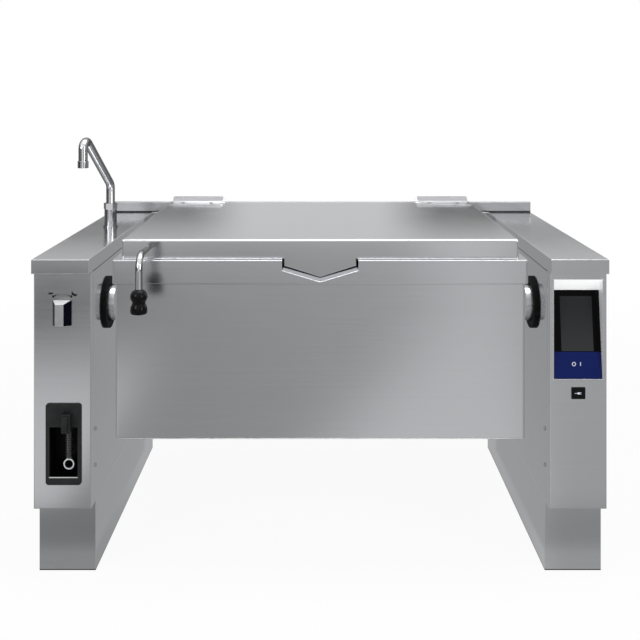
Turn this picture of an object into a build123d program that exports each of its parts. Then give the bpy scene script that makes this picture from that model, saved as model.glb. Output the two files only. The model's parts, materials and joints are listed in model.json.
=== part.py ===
from build123d import *
import math
import os

# Tilting bratt pan: a lidded pan hung on two trunnions between two service pillars.
# X runs to the right, Y to the back and Z up. The origin is on the floor, at the centre
# of the whole outline. All sizes are in millimetres.

os.makedirs("parts", exist_ok=True)

# Cabinet: two pillars on plinths
cabinet_width = 1600.0
cabinet_depth = 1000.0
cabinet_height = 900.0
pillar_width = 160.0
plinth_height = 200.0
plinth_setback = 80.0
worktop_thickness = 40.0
worktop_overhang = 24.0
casing_sheet = 2.0
fascia_depth = 26.0
seam = 0.4
edge_radius = 2.0
upstand_depth = 15.0
upstand_height = 40.0
anchor_hole_radius = 6.0
anchor_side_inset = 30.0
anchor_end_inset = 80.0
plinth_flange = 3.0
connection_inset = 86.0
connection_back = 140.0
connection_cutout = 90.0
inlet_radius = 13.2
inlet_length = 28.0
inlet_neck_radius = 10.5
inlet_collar_radius = 17.0
inlet_collar_thickness = 3.0
inlet_flange_radius = 22.0
gland_radius = 16.0
gland_bore = 9.0
gland_length = 34.0

# Pan
side_gap = 56.0
rim_height = 66.0
rim_top_drop = 8.0
rim_front_setback = 33.0
rim_depth = 907.0
rim_sheet = 3.0
cladding_inset = 6.0
cladding_front_inset = 12.0
cladding_rear_inset = 60.0
cladding_height = 439.0
cladding_sheet = 2.0
well_side_land = 54.0
well_length = 680.0
well_depth = 270.0
well_front_land = 107.0
well_sheet = 3.0
well_corner = 60.0
well_bottom_radius = 25.0
base_plate_thickness = 12.0
insulation_thickness = 25.0

# Pouring notch at the middle of the front rim
notch_width = 214.0
notch_side_depth = 29.0
notch_depth = 61.0
notch_slope = 0.25
notch_floor_sheet = 4.0
flap_side_gap = 5.5
flap_gap = 1.8
rim_corner = 8.0

# Trunnions and tilt drive
trunnion_setback = 240.0
trunnion_drop = 171.0
trunnion_radius = 54.0
trunnion_bore = 44.0
trunnion_length = 124.0
trunnion_flange_radius = 78.0
trunnion_flange_thickness = 8.0
bearing_clearance = 0.05
bearing_flange = 190.0
bearing_flange_thickness = 10.0
bearing_radius = 76.0
bearing_length = 30.0
seal_radius = 77.0
seal_gap = 0.4
seal_thickness = 9.0
seal_edge = 3.0
gear_module = 3.0
gear_teeth = 80
gear_sector_teeth = 34
gear_sector_middle = -135.0
pinion_teeth = 20
gear_face = 18.0
gear_standoff = 12.0
pinion_shaft_radius = 12.0
tooth_backlash = 0.25
pressure_angle = 20.0
addendum = 0.9
dedendum = 1.2

# Lid
lid_inset = 21.0
lid_front_inset = 28.0
lid_rear_inset = 5.0
lid_height = 54.0
lid_sheet = 2.0
lid_edge_radius = 6.0
lid_liner_gap = 20.0
hinge_rear_gap = 12.0
hinge_rise = 54.0
hinge_pin_radius = 7.0
hinge_side_inset = 13.0
hinge_length = 193.0
hinge_cover_top = 17.0
hinge_leaf_length = 104.0
hinge_leaf_thickness = 3.0
hinge_barrel_back = 16.0
hinge_barrel_front = 22.0
hinge_bend = 5.0
hinge_plate = 3.0
hinge_block_width = 30.0
hinge_screw_radius = 6.5
hinge_screw_height = 2.5
hinge_screw_taper = 25.0
hinge_screw_inset = 45.0

# Lid handle
handle_inset = 78.0
handle_reach = 111.0
handle_rod_radius = 9.5
handle_drop_from_lid = 20.0
handle_bend_radius = 40.0
grip_radius = 23.0
grip_top_drop = 107.0
grip_length = 68.0

# Tap on the left worktop
tap_inset = 86.0
tap_setback = 606.0
tap_column_radius = 20.5
tap_column_height = 62.0
tap_flange_radius = 24.0
tap_flange_height = 5.0
tap_collar_radius = 23.0
tap_collar_height = 20.0
collar_flat_count = 6
tap_tube_radius = 14.5
tap_socket_depth = 40.0
tap_riser = 145.0
tap_top = 326.0
tap_outlet = 241.0
tap_reach_y = -210.0
tap_reach_x = -41.0
tap_bend = 22.0
tap_elbow = 30.0
aerator_radius = 17.0
aerator_length = 22.0
aerator_wall = 2.0

# Left pillar front: tilt knob and spray dock
knob_inset = 80.0
knob_drop = 113.0
knob_width = 52.0
knob_length = 72.0
knob_ridge_width = 24.0
knob_ridge_length = 60.0
knob_depth = 30.0
bezel_thickness = 3.0
knob_gap = 0.5
spindle_radius = 5.0
spindle_clearance = 0.05
spindle_length = 26.0
dock_inset = 84.0
dock_width = 100.0
dock_rise = 67.0
dock_height = 228.0
dock_proud = 4.0
dock_corner = 9.0
pocket_width = 80.0
pocket_height = 142.0
pocket_sill = 20.0
pocket_depth = 62.0
pocket_wall = 2.5
lip_height = 3.0
gun_offset = 11.0
gun_width = 25.0
gun_head_height = 50.0
gun_head_depth = 24.0
gun_head_lap = 9.0
gun_edge = 6.0
grip_ring_radius = 10.5
grip_setback = 16.0
grip_ring_pitch = 8.0
grip_ring_groove = 1.5
gun_grip_length = 84.0
guide_radius = 15.5
guide_bore = 9.0
trigger_width = 12.0
trigger_length = 44.0
trigger_thickness = 4.0
trigger_gap = 0.4
trigger_stroke = 5.0
trigger_edge = 1.3

# Right pillar front: display, its frame and the service socket
display_inset = 79.5
display_width = 144.0
display_drop = 16.0
display_height = 286.0
display_lean = 38.0
display_ceiling = 39.0
display_rim = 2.0
display_wall = 2.0
glass_thickness = 4.0
glass_gap = 0.4
board_thickness = 14.0
socket_cover_width = 38.0
socket_cover_height = 32.0
socket_cover_thickness = 3.0
socket_cover_edge = 1.35
socket_drop = 35.0
socket_cover_gap = 0.4
socket_depth = 24.0
socket_width = 26.0
socket_slot = 6.5

# Worked out from the sizes above
half_width = cabinet_width / 2
pillar_inner = half_width - pillar_width
front_y = (handle_reach - cabinet_depth) / 2
back_y = front_y + cabinet_depth
pillar_front = front_y + worktop_overhang
casing_front = pillar_front + fascia_depth
worktop_bottom = cabinet_height - worktop_thickness
knob_height = worktop_bottom - knob_drop
dock_bottom = plinth_height + dock_rise
display_bottom = worktop_bottom - display_drop - display_height
socket_height = display_bottom - socket_drop
rim_half = pillar_inner - side_gap
rim_front = front_y + rim_front_setback
rim_back = rim_front + rim_depth
rim_top = cabinet_height - rim_top_drop
rim_bottom = rim_top - rim_height
cladding_half = rim_half - cladding_inset
cladding_front = rim_front + cladding_front_inset
cladding_back = rim_back - cladding_rear_inset
cladding_bottom = rim_bottom - cladding_height
well_width = 2 * (rim_half - well_side_land)
well_front = rim_front + well_front_land
well_back = well_front + well_length
well_bottom = rim_top - well_depth
trunnion_y = front_y + trunnion_setback
trunnion_height = cabinet_height - trunnion_drop
bearing_face = pillar_inner + casing_sheet
lid_half = rim_half - lid_inset
lid_front = rim_front + lid_front_inset
lid_back = rim_back - lid_rear_inset
lid_top = rim_top + lid_height
hinge_outer_end = lid_half - hinge_side_inset
hinge_inner_end = hinge_outer_end - hinge_length
handle_x = handle_inset - lid_half
hinge_y = lid_back + hinge_rear_gap
hinge_z = rim_top + hinge_rise
tap_x = -half_width + tap_inset
tap_y = front_y + tap_setback
SIDES = (("left", -1), ("right", 1))
FLANK_STEPS = 4


def block(x, y, z, mode=Mode.ADD):
    """Adds or cuts a box given by its low and high end along each axis."""
    with Locations(((x[0] + x[1]) / 2, (y[0] + y[1]) / 2, (z[0] + z[1]) / 2)):
        Box(abs(x[1] - x[0]), abs(y[1] - y[0]), abs(z[1] - z[0]), mode=mode)


def rod(axis_plane, radius, length, bore=0.0):
    """Adds a round bar or tube that starts on a plane and runs along its normal."""
    with BuildSketch(axis_plane) as section:
        Circle(radius)
        if bore:
            Circle(bore, mode=Mode.SUBTRACT)
    extrude(section.sketch, amount=length)


def across(x, y, z):
    """The plane through a point that faces +X."""
    return Plane(origin=(x, y, z), x_dir=(0, 1, 0), z_dir=(1, 0, 0))


def facing_front(x, y, z):
    """The plane through a point that faces the front, with its own x to the right."""
    return Plane(origin=(x, y, z), x_dir=(1, 0, 0), z_dir=(0, -1, 0))


def save(part, name):
    """Labels a finished piece and writes it as its own file."""
    part.label = name
    export_step(part, f"parts/{name}.step")


# Pillar casings: bent sheet boxes, open at the front where the fascia closes them
service_margin = 24.0
hole_clearance = 1.0
cut_clearance = 0.3
connection_y = back_y - connection_back
for name, side in SIDES:
    inner = side * pillar_inner
    outer = side * half_width
    with BuildPart() as casing:
        block((inner, outer), (casing_front + seam, back_y), (plinth_height, worktop_bottom))
        block(
            (inner + side * casing_sheet, outer - side * casing_sheet),
            (casing_front, back_y - casing_sheet),
            (plinth_height + casing_sheet, worktop_bottom - casing_sheet),
            Mode.SUBTRACT,
        )
        block(
            (inner + side * service_margin, outer - side * service_margin),
            (casing_front + service_margin, back_y - service_margin),
            (worktop_bottom - 2 * casing_sheet, worktop_bottom),
            Mode.SUBTRACT,
        )
        with BuildSketch(across(inner - side * hole_clearance, trunnion_y, trunnion_height)):
            Circle(trunnion_radius + hole_clearance)
        extrude(amount=side * (casing_sheet + 2 * hole_clearance), mode=Mode.SUBTRACT)
        with BuildSketch(Plane.XY.offset(plinth_height)):
            with Locations((side * (half_width - connection_inset), connection_y)):
                Circle((inlet_neck_radius if side < 0 else gland_radius) + cut_clearance)
        extrude(amount=casing_sheet, mode=Mode.SUBTRACT)
    save(casing.part, f"{name}_casing")

# Worktops: folded sheet caps with their edges turned down
for name, side in SIDES:
    inner = side * pillar_inner
    outer = side * half_width
    with BuildPart() as worktop:
        block((inner, outer), (front_y, back_y), (worktop_bottom, cabinet_height))
        rims = worktop.faces().sort_by(Axis.Z)[-1].edges()
        fillet(rims, edge_radius)
        block(
            (inner + side * casing_sheet, outer - side * casing_sheet),
            (front_y + casing_sheet, back_y - casing_sheet),
            (worktop_bottom, cabinet_height - casing_sheet),
            Mode.SUBTRACT,
        )
        block(
            (inner + side * casing_sheet, outer - side * casing_sheet),
            (front_y + casing_sheet, pillar_front + fascia_depth / 2),
            (worktop_bottom, worktop_bottom + casing_sheet),
        )
        if side < 0:
            with BuildSketch(Plane.XY.offset(cabinet_height)):
                with Locations((tap_x, tap_y)):
                    Circle(tap_tube_radius + hole_clearance)
            extrude(amount=-2 * casing_sheet, mode=Mode.SUBTRACT)
    save(worktop.part, f"{name}_worktop")

# Plinths: set back boxes that stand on the floor, with a bolting flange inside
plinth_front = front_y + plinth_setback
anchor_y = (plinth_front + back_y) / 2
anchor_spacing_x = pillar_width - 2 * anchor_side_inset
anchor_spacing_y = back_y - plinth_front - 2 * anchor_end_inset
for name, side in SIDES:
    inner = side * pillar_inner
    outer = side * half_width
    middle = (inner + outer) / 2
    with BuildPart() as plinth:
        block((inner, outer), (plinth_front, back_y), (0, plinth_height))
        block(
            (inner + side * casing_sheet, outer - side * casing_sheet),
            (plinth_front + casing_sheet, back_y - casing_sheet),
            (plinth_flange, plinth_height),
            Mode.SUBTRACT,
        )
        with BuildSketch(Plane.XY):
            with Locations((middle, anchor_y)):
                with GridLocations(anchor_spacing_x, anchor_spacing_y, 2, 2):
                    Circle(anchor_hole_radius)
            with Locations((middle, connection_y)):
                RectangleRounded(connection_cutout, connection_cutout, anchor_hole_radius)
        extrude(amount=plinth_flange, mode=Mode.SUBTRACT)
    save(plinth.part, f"{name}_plinth")

# Back of the machine: upstand, rear panel and the beam that ties the pillars together
panel_rise = 100.0
beam_height = 60.0
beam_depth = 60.0
beam_wall = 3.0
stop_thickness = 7.0
stop_size = 40.0
stop_inset = 134.0
with BuildPart() as rear_upstand:
    block(
        (-half_width, half_width),
        (back_y - upstand_depth, back_y),
        (cabinet_height, cabinet_height + upstand_height),
    )
    fillet(rear_upstand.faces().sort_by(Axis.Z)[-1].edges().filter_by(Axis.X), edge_radius)
save(rear_upstand.part, "rear_upstand")

panel_bottom = plinth_height + panel_rise
with BuildPart() as rear_panel:
    block((-pillar_inner, pillar_inner), (back_y - upstand_depth, back_y), (panel_bottom, cabinet_height))
    block(
        (-pillar_inner, pillar_inner),
        (back_y - upstand_depth, back_y - casing_sheet),
        (panel_bottom, cabinet_height - casing_sheet),
        Mode.SUBTRACT,
    )
save(rear_panel.part, "rear_panel")

beam_back = cladding_back + stop_size / 2
beam_top = cladding_bottom - stop_thickness
with BuildPart() as rear_crossbeam:
    block(
        (-pillar_inner, pillar_inner),
        (beam_back - beam_depth, beam_back),
        (beam_top - beam_height, beam_top),
    )
    block(
        (-pillar_inner, pillar_inner),
        (beam_back - beam_depth + beam_wall, beam_back - beam_wall),
        (beam_top - beam_height + beam_wall, beam_top - beam_wall),
        Mode.SUBTRACT,
    )
save(rear_crossbeam.part, "rear_crossbeam")

with BuildPart() as pan_stops:
    for side in (-1, 1):
        stop_x = side * (rim_half - stop_inset)
        block(
            (stop_x - stop_size / 2, stop_x + stop_size / 2),
            (beam_back - beam_depth / 2 - stop_size / 2, cladding_back),
            (beam_top, cladding_bottom),
        )
save(pan_stops.part, "pan_stops")

# Trunnion bearings inside the pillars and rubber seals on their inner walls
for name, side in SIDES:
    with BuildPart() as bearing:
        with BuildSketch(across(side * bearing_face, trunnion_y, trunnion_height)):
            RectangleRounded(bearing_flange, bearing_flange, service_margin)
            Circle(trunnion_radius + bearing_clearance, mode=Mode.SUBTRACT)
        extrude(amount=side * bearing_flange_thickness)
        with BuildSketch(across(side * bearing_face, trunnion_y, trunnion_height)):
            Circle(bearing_radius)
            Circle(trunnion_radius + bearing_clearance, mode=Mode.SUBTRACT)
        extrude(amount=side * bearing_length)
    save(bearing.part, f"{name}_trunnion_bearing")

with BuildPart() as trunnion_seals:
    for side in (-1, 1):
        with BuildSketch(across(side * pillar_inner, trunnion_y, trunnion_height)):
            Circle(seal_radius)
            Circle(trunnion_radius + seal_gap, mode=Mode.SUBTRACT)
        extrude(amount=-side * seal_thickness)
        lip_centre = (side * (pillar_inner - seal_thickness), trunnion_y, trunnion_height)
        lip = trunnion_seals.faces().sort_by_distance(lip_centre)[0]
        fillet(lip.edges(), seal_edge)
save(trunnion_seals.part, "trunnion_seals")

# Screws in the inner walls, near the front edge of the casings
screw_radius = 6.0
screw_head_height = 2.5
screw_setback = 77.0
screw_rise_low = 102.0
screw_rise_high = 205.0
with BuildPart() as casing_screws:
    for side in (-1, 1):
        for rise in (screw_rise_low, screw_rise_high):
            head = across(side * pillar_inner, front_y + screw_setback, plinth_height + rise)
            with BuildSketch(head):
                Circle(screw_radius)
            extrude(amount=-side * screw_head_height)
save(casing_screws.part, "casing_screws")

# Left fascia with the seat of the spray dock, right fascia with the display opening
dock_x = -half_width + dock_inset
dock_middle = dock_bottom + dock_height / 2
knob_x = -half_width + knob_inset
display_x = half_width - display_inset
display_middle = display_bottom + display_height / 2
pocket_bottom = dock_bottom + pocket_sill
pocket_middle = pocket_bottom + pocket_height / 2
tub_width = pocket_width + 2 * pocket_wall
tub_height = pocket_height + 2 * pocket_wall
tub_cut = tub_height + 2 * cut_clearance
socket_cut = socket_width + 2 * cut_clearance
for name, side in SIDES:
    inner = side * pillar_inner
    outer = side * half_width
    with BuildPart() as fascia:
        block((inner, outer), (pillar_front, casing_front), (plinth_height, worktop_bottom))
        uprights = fascia.edges().filter_by(Axis.Z).sort_by(Axis.Y)[:2]
        fillet(uprights, edge_radius)
        block(
            (inner + side * casing_sheet, outer - side * casing_sheet),
            (pillar_front + casing_sheet, casing_front),
            (plinth_height + casing_sheet, worktop_bottom - casing_sheet),
            Mode.SUBTRACT,
        )
        if side < 0:
            block(
                (dock_x - tub_width / 2 - cut_clearance, dock_x + tub_width / 2 + cut_clearance),
                (pillar_front, pillar_front + casing_sheet),
                (pocket_middle - tub_cut / 2, pocket_middle + tub_cut / 2),
                Mode.SUBTRACT,
            )
            with BuildSketch(facing_front(knob_x, pillar_front, knob_height)):
                Circle(spindle_radius + hole_clearance)
            extrude(amount=-casing_sheet, mode=Mode.SUBTRACT)
        else:
            block(
                (display_x - display_width / 2 + display_rim, display_x + display_width / 2 - display_rim),
                (pillar_front, pillar_front + casing_sheet),
                (display_bottom + display_rim, display_bottom + display_height - display_rim),
                Mode.SUBTRACT,
            )
            block(
                (display_x - socket_cut / 2, display_x + socket_cut / 2),
                (pillar_front, pillar_front + casing_sheet),
                (socket_height - socket_cut / 2, socket_height + socket_cut / 2),
                Mode.SUBTRACT,
            )
    save(fascia.part, f"{name}_fascia")

# Pan well: deep drawn tub with rounded corners, open into the pouring notch at the front
well_middle = (well_front + well_back) / 2
rim_middle = (rim_front + rim_back) / 2


def notch_profile(grow=0.0, lift=0.0):
    """Draws the V section of the pouring notch on the rim's front face, seen from the front."""
    half = notch_width / 2 + grow
    side_z = -notch_side_depth - grow + lift
    tip_z = -notch_depth - grow + lift
    with BuildLine() as outline:
        Polyline(
            (-half, side_z),
            (0, tip_z),
            (half, side_z),
            (half, notch_side_depth),
            (-half, notch_side_depth),
            close=True,
        )
    make_face(outline.edges())


with BuildPart() as notch_space:
    with BuildSketch(facing_front(0, rim_front - hole_clearance, rim_top - hole_clearance * notch_slope)):
        notch_profile()
    reach = well_front_land + 2 * hole_clearance + well_sheet
    extrude(amount=reach, dir=(0, 1, notch_slope))

with BuildPart() as well_space:
    with BuildSketch(Plane.XY.offset(well_bottom)):
        with Locations((0, well_middle)):
            RectangleRounded(well_width, well_length, well_corner)
    extrude(amount=well_depth)
    fillet(well_space.faces().sort_by(Axis.Z)[0].edges(), well_bottom_radius)

with BuildPart() as pan_well:
    with BuildSketch(Plane.XY.offset(well_bottom - well_sheet)):
        with Locations((0, well_middle)):
            RectangleRounded(
                well_width + 2 * well_sheet,
                well_length + 2 * well_sheet,
                well_corner + well_sheet,
            )
    extrude(amount=well_depth + well_sheet - rim_sheet)
    fillet(pan_well.faces().sort_by(Axis.Z)[0].edges(), well_bottom_radius + well_sheet)
    add(well_space.part, mode=Mode.SUBTRACT)
    add(notch_space.part, mode=Mode.SUBTRACT)
save(pan_well.part, "pan_well")

# Pan rim: folded frame around the well, with the pouring trough welded into its front
with BuildPart() as pan_rim:
    with BuildSketch(Plane.XY.offset(rim_bottom)):
        with Locations((0, rim_middle)):
            RectangleRounded(2 * rim_half, rim_depth, rim_corner)
    extrude(amount=rim_height)
    fillet(pan_rim.faces().sort_by(Axis.Z)[-1].edges(), edge_radius)
    with BuildSketch(Plane.XY.offset(rim_bottom + rim_sheet)):
        with Locations((0, rim_middle)):
            RectangleRounded(2 * (rim_half - rim_sheet), rim_depth - 2 * rim_sheet, rim_corner - rim_sheet)
    extrude(amount=rim_height - 2 * rim_sheet, mode=Mode.SUBTRACT)
    block(
        (-cladding_half + cladding_sheet, cladding_half - cladding_sheet),
        (cladding_front + cladding_sheet, cladding_back - cladding_sheet),
        (rim_bottom, rim_bottom + rim_sheet),
        Mode.SUBTRACT,
    )
    with BuildSketch(facing_front(0, rim_front + rim_sheet / 2, rim_top)):
        notch_profile(grow=notch_floor_sheet, lift=notch_floor_sheet / 4)
    trough_length = well_front_land - well_sheet - rim_sheet / 2
    extrude(amount=trough_length, dir=(0, 1, notch_slope))
    block(
        (-notch_width, notch_width),
        (rim_front, well_back),
        (rim_top, rim_top + 2 * notch_depth),
        Mode.SUBTRACT,
    )
    add(notch_space.part, mode=Mode.SUBTRACT)
    with BuildSketch(Plane.XY.offset(rim_bottom)):
        with Locations((0, well_middle)):
            RectangleRounded(well_width, well_length, well_corner)
    extrude(amount=rim_height, mode=Mode.SUBTRACT)
save(pan_rim.part, "pan_rim")

# Pan cladding and its bottom cover
with BuildPart() as pan_cladding:
    cladding_depth = cladding_back - cladding_front
    cladding_middle = (cladding_front + cladding_back) / 2
    with BuildSketch(Plane.XY.offset(cladding_bottom + cladding_sheet)):
        with Locations((0, cladding_middle)):
            RectangleRounded(2 * cladding_half, cladding_depth, rim_corner)
            RectangleRounded(
                2 * (cladding_half - cladding_sheet),
                cladding_depth - 2 * cladding_sheet,
                rim_corner - cladding_sheet,
                mode=Mode.SUBTRACT,
            )
    extrude(amount=cladding_height - cladding_sheet)
    for side in (-1, 1):
        with BuildSketch(across(side * cladding_half, trunnion_y, trunnion_height)):
            Circle(trunnion_radius + hole_clearance)
        extrude(amount=-side * 2 * cladding_sheet, mode=Mode.SUBTRACT)
save(pan_cladding.part, "pan_cladding")

with BuildPart() as pan_base_cover:
    with BuildSketch(Plane.XY.offset(cladding_bottom)):
        with Locations((0, cladding_middle)):
            RectangleRounded(2 * cladding_half, cladding_depth, rim_corner)
    extrude(amount=cladding_sheet)
save(pan_base_cover.part, "pan_base_cover")

# Heating below the well: bonded plate, flat elements and an insulating slab
plate_inset = 30.0
element_count = 6
element_width = 40.0
element_thickness = 10.0
sensor_radius = 4.0
sensor_length = 70.0
plate_top = well_bottom - well_sheet
plate_bottom = plate_top - base_plate_thickness
element_bottom = plate_bottom - element_thickness
slab_bottom = element_bottom - insulation_thickness
heated_width = well_width - 2 * plate_inset
heated_length = well_length - 2 * plate_inset
with BuildPart() as heating_plate:
    with BuildSketch(Plane.XY.offset(plate_bottom)):
        with Locations((0, well_middle)):
            RectangleRounded(heated_width, heated_length, plate_inset)
    extrude(amount=base_plate_thickness)
save(heating_plate.part, "heating_plate")

with BuildPart() as heating_elements:
    with BuildSketch(Plane.XY.offset(element_bottom)):
        with Locations((0, well_middle)):
            with GridLocations(0, heated_length / element_count, 1, element_count):
                SlotOverall(heated_width - 2 * plate_inset, element_width)
    extrude(amount=element_thickness)
save(heating_elements.part, "heating_elements")

with BuildPart() as pan_insulation:
    with BuildSketch(Plane.XY.offset(slab_bottom)):
        with Locations((0, well_middle)):
            RectangleRounded(heated_width, heated_length, plate_inset)
            Circle(sensor_radius + hole_clearance, mode=Mode.SUBTRACT)
    extrude(amount=insulation_thickness)
save(pan_insulation.part, "pan_insulation")

with BuildPart() as temperature_sensor:
    with BuildSketch(Plane.XY.offset(plate_bottom)):
        with Locations((0, well_middle)):
            Circle(sensor_radius)
    extrude(amount=-sensor_length)
save(temperature_sensor.part, "temperature_sensor")

# Pan frame: side plates that carry the trunnions, tied by bars under the insulation
frame_plate = 8.0
frame_bar_depth = 60.0
frame_bar_height = 20.0
frame_outer = cladding_half - cladding_sheet - trunnion_flange_thickness
frame_bottom = slab_bottom - frame_bar_height
with BuildPart() as pan_frame:
    for side in (-1, 1):
        block(
            (side * (frame_outer - frame_plate), side * frame_outer),
            (well_front, well_back),
            (frame_bottom, rim_top - rim_sheet),
        )
    for bar_y in (well_front + frame_bar_depth, well_back - frame_bar_depth):
        block(
            (-frame_outer, frame_outer),
            (bar_y - frame_bar_depth / 2, bar_y + frame_bar_depth / 2),
            (frame_bottom, slab_bottom),
        )
save(pan_frame.part, "pan_frame")

# Trunnions: flanged tubes that run from the pan frame through the pillar walls
for name, side in SIDES:
    with BuildPart() as trunnion:
        rod(
            across(side * frame_outer, trunnion_y, trunnion_height),
            trunnion_flange_radius,
            side * trunnion_flange_thickness,
            trunnion_bore,
        )
        rod(
            across(side * frame_outer, trunnion_y, trunnion_height),
            trunnion_radius,
            side * (trunnion_length + trunnion_flange_thickness + cladding_sheet),
            trunnion_bore,
        )
    save(trunnion.part, f"{name}_trunnion")

# Tilt drive: toothed sector on the right trunnion, turned by a pinion below it
wheel_radius = gear_module * gear_teeth / 2
pinion_radius = gear_module * pinion_teeth / 2
pinion_z = trunnion_height - wheel_radius - pinion_radius
gear_x = bearing_face + bearing_length + gear_standoff


def involute_tooth(teeth, centre_angle):
    """Draws one gear tooth around the sketch's origin, pointing along an angle in degrees."""
    pitch_r = gear_module * teeth / 2
    base_r = pitch_r * math.cos(math.radians(pressure_angle))
    tip_r = pitch_r + gear_module * addendum
    root_r = pitch_r - gear_module * dedendum
    start_r = max(base_r, root_r)

    def involute(radius):
        spread = math.acos(base_r / radius)
        return math.tan(spread) - spread

    half_pitch = math.pi / (2 * teeth) - tooth_backlash / (2 * pitch_r)
    middle = math.radians(centre_angle)

    def flank(radius, sign):
        angle = middle + sign * (half_pitch + involute(pitch_r) - involute(radius))
        return (radius * math.cos(angle), radius * math.sin(angle))

    steps = [start_r + (tip_r - start_r) * step / FLANK_STEPS for step in range(FLANK_STEPS + 1)]
    low = [flank(radius, -1) for radius in steps]
    high = [flank(radius, 1) for radius in reversed(steps)]
    inner_r = root_r - gear_module
    edge_low = math.atan2(low[0][1], low[0][0])
    edge_high = math.atan2(high[-1][1], high[-1][0])
    with BuildLine() as outline:
        Line((inner_r * math.cos(edge_low), inner_r * math.sin(edge_low)), low[0])
        Spline(*low)
        Line(low[-1], high[0])
        Spline(*high)
        Line(high[-1], (inner_r * math.cos(edge_high), inner_r * math.sin(edge_high)))
        Line(
            (inner_r * math.cos(edge_high), inner_r * math.sin(edge_high)),
            (inner_r * math.cos(edge_low), inner_r * math.sin(edge_low)),
        )
    make_face(outline.edges())


hub_wall = 16.0
hub_radius = trunnion_radius + hub_wall
first_angle = gear_sector_middle - 180 / gear_teeth * (gear_sector_teeth - 1)
with BuildPart() as tilt_gear:
    with BuildSketch(across(gear_x, trunnion_y, trunnion_height)):
        root_radius = wheel_radius - gear_module * dedendum
        Circle(root_radius)
        with BuildLine() as wedge:
            half_sector = 180 / gear_teeth * gear_sector_teeth
            PolarLine((0, 0), wheel_radius, gear_sector_middle - half_sector)
            PolarLine((0, 0), wheel_radius, gear_sector_middle + half_sector)
            CenterArc((0, 0), wheel_radius, gear_sector_middle - half_sector, 2 * half_sector)
        make_face(wedge.edges(), mode=Mode.INTERSECT)
        for tooth in range(gear_sector_teeth):
            involute_tooth(gear_teeth, first_angle + tooth * 360 / gear_teeth)
        Circle(hub_radius)
        Circle(trunnion_radius, mode=Mode.SUBTRACT)
    extrude(amount=gear_face)
save(tilt_gear.part, "tilt_gear")

with BuildPart() as drive_pinion:
    shaft_length = 60.0
    with BuildSketch(across(gear_x, trunnion_y, pinion_z)):
        Circle(pinion_radius - gear_module * dedendum)
        for tooth in range(pinion_teeth):
            involute_tooth(pinion_teeth, 90 + tooth * 360 / pinion_teeth)
    extrude(amount=gear_face)
    rod(across(gear_x, trunnion_y, pinion_z), pinion_shaft_radius, shaft_length)
save(drive_pinion.part, "drive_pinion")

gearbox_gap = 3.0
gearbox_size = 110.0
motor_radius = 42.0
motor_length = 150.0
with BuildPart() as gearmotor:
    gearbox_x = gear_x + gear_face + gearbox_gap
    block(
        (gearbox_x, half_width - casing_sheet),
        (trunnion_y - gearbox_size / 2, trunnion_y + gearbox_size / 2),
        (pinion_z - gearbox_size / 2, pinion_z + gearbox_size / 2),
    )
    motor_x = (gearbox_x + half_width - casing_sheet) / 2
    with BuildSketch(Plane.XY.offset(pinion_z - gearbox_size / 2)):
        with Locations((motor_x, trunnion_y)):
            Circle(motor_radius)
    extrude(amount=-motor_length)
    with BuildSketch(across(gearbox_x, trunnion_y, pinion_z)):
        Circle(pinion_shaft_radius + bearing_clearance)
    extrude(amount=shaft_length - gear_face, mode=Mode.SUBTRACT)
save(gearmotor.part, "gearmotor")

# Lid: double skinned, with a flap that closes the pouring notch
lid_middle = (lid_front + lid_back) / 2
flap_half = notch_width / 2 - flap_side_gap
with BuildPart() as lid_shell:
    block((-lid_half, lid_half), (lid_front, lid_back), (rim_top, lid_top))
    fillet(lid_shell.edges().filter_by(Axis.Z), lid_edge_radius)
    fillet(lid_shell.faces().sort_by(Axis.Z)[-1].edges(), lid_edge_radius)
    with BuildSketch(Plane.XY.offset(rim_top)):
        with Locations((0, lid_middle)):
            RectangleRounded(
                2 * (lid_half - lid_sheet),
                lid_back - lid_front - 2 * lid_sheet,
                lid_edge_radius - lid_sheet,
            )
    extrude(amount=lid_height - lid_sheet, mode=Mode.SUBTRACT)
    flap_drop = notch_slope * (lid_front - rim_front) + flap_gap
    with BuildSketch(facing_front(0, lid_front + lid_sheet, rim_top)):
        with BuildLine():
            Polyline(
                (-flap_half, flap_drop - notch_side_depth),
                (0, flap_drop - notch_depth),
                (flap_half, flap_drop - notch_side_depth),
                (flap_half, lid_sheet),
                (-flap_half, lid_sheet),
                close=True,
            )
        make_face()
    extrude(amount=lid_sheet)
save(lid_shell.part, "lid_shell")

with BuildPart() as lid_liner:
    liner_corner = lid_edge_radius - lid_sheet
    with BuildSketch(Plane.XY.offset(rim_top + lid_liner_gap)):
        with Locations((0, lid_middle)):
            RectangleRounded(2 * (lid_half - lid_sheet), lid_back - lid_front - 2 * lid_sheet, liner_corner)
    extrude(amount=lid_sheet)
    drip_inset = 14.0
    drip_depth = 8.0
    drip_width = well_width - 2 * drip_inset
    drip_length = well_length - 2 * drip_inset
    with BuildSketch(Plane.XY.offset(rim_top - drip_depth)):
        with Locations((0, well_middle)):
            RectangleRounded(drip_width, drip_length, well_corner - drip_inset)
            RectangleRounded(
                drip_width - 2 * lid_sheet,
                drip_length - 2 * lid_sheet,
                well_corner - drip_inset - lid_sheet,
                mode=Mode.SUBTRACT,
            )
    extrude(amount=drip_depth + lid_liner_gap)
save(lid_liner.part, "lid_liner")

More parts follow.
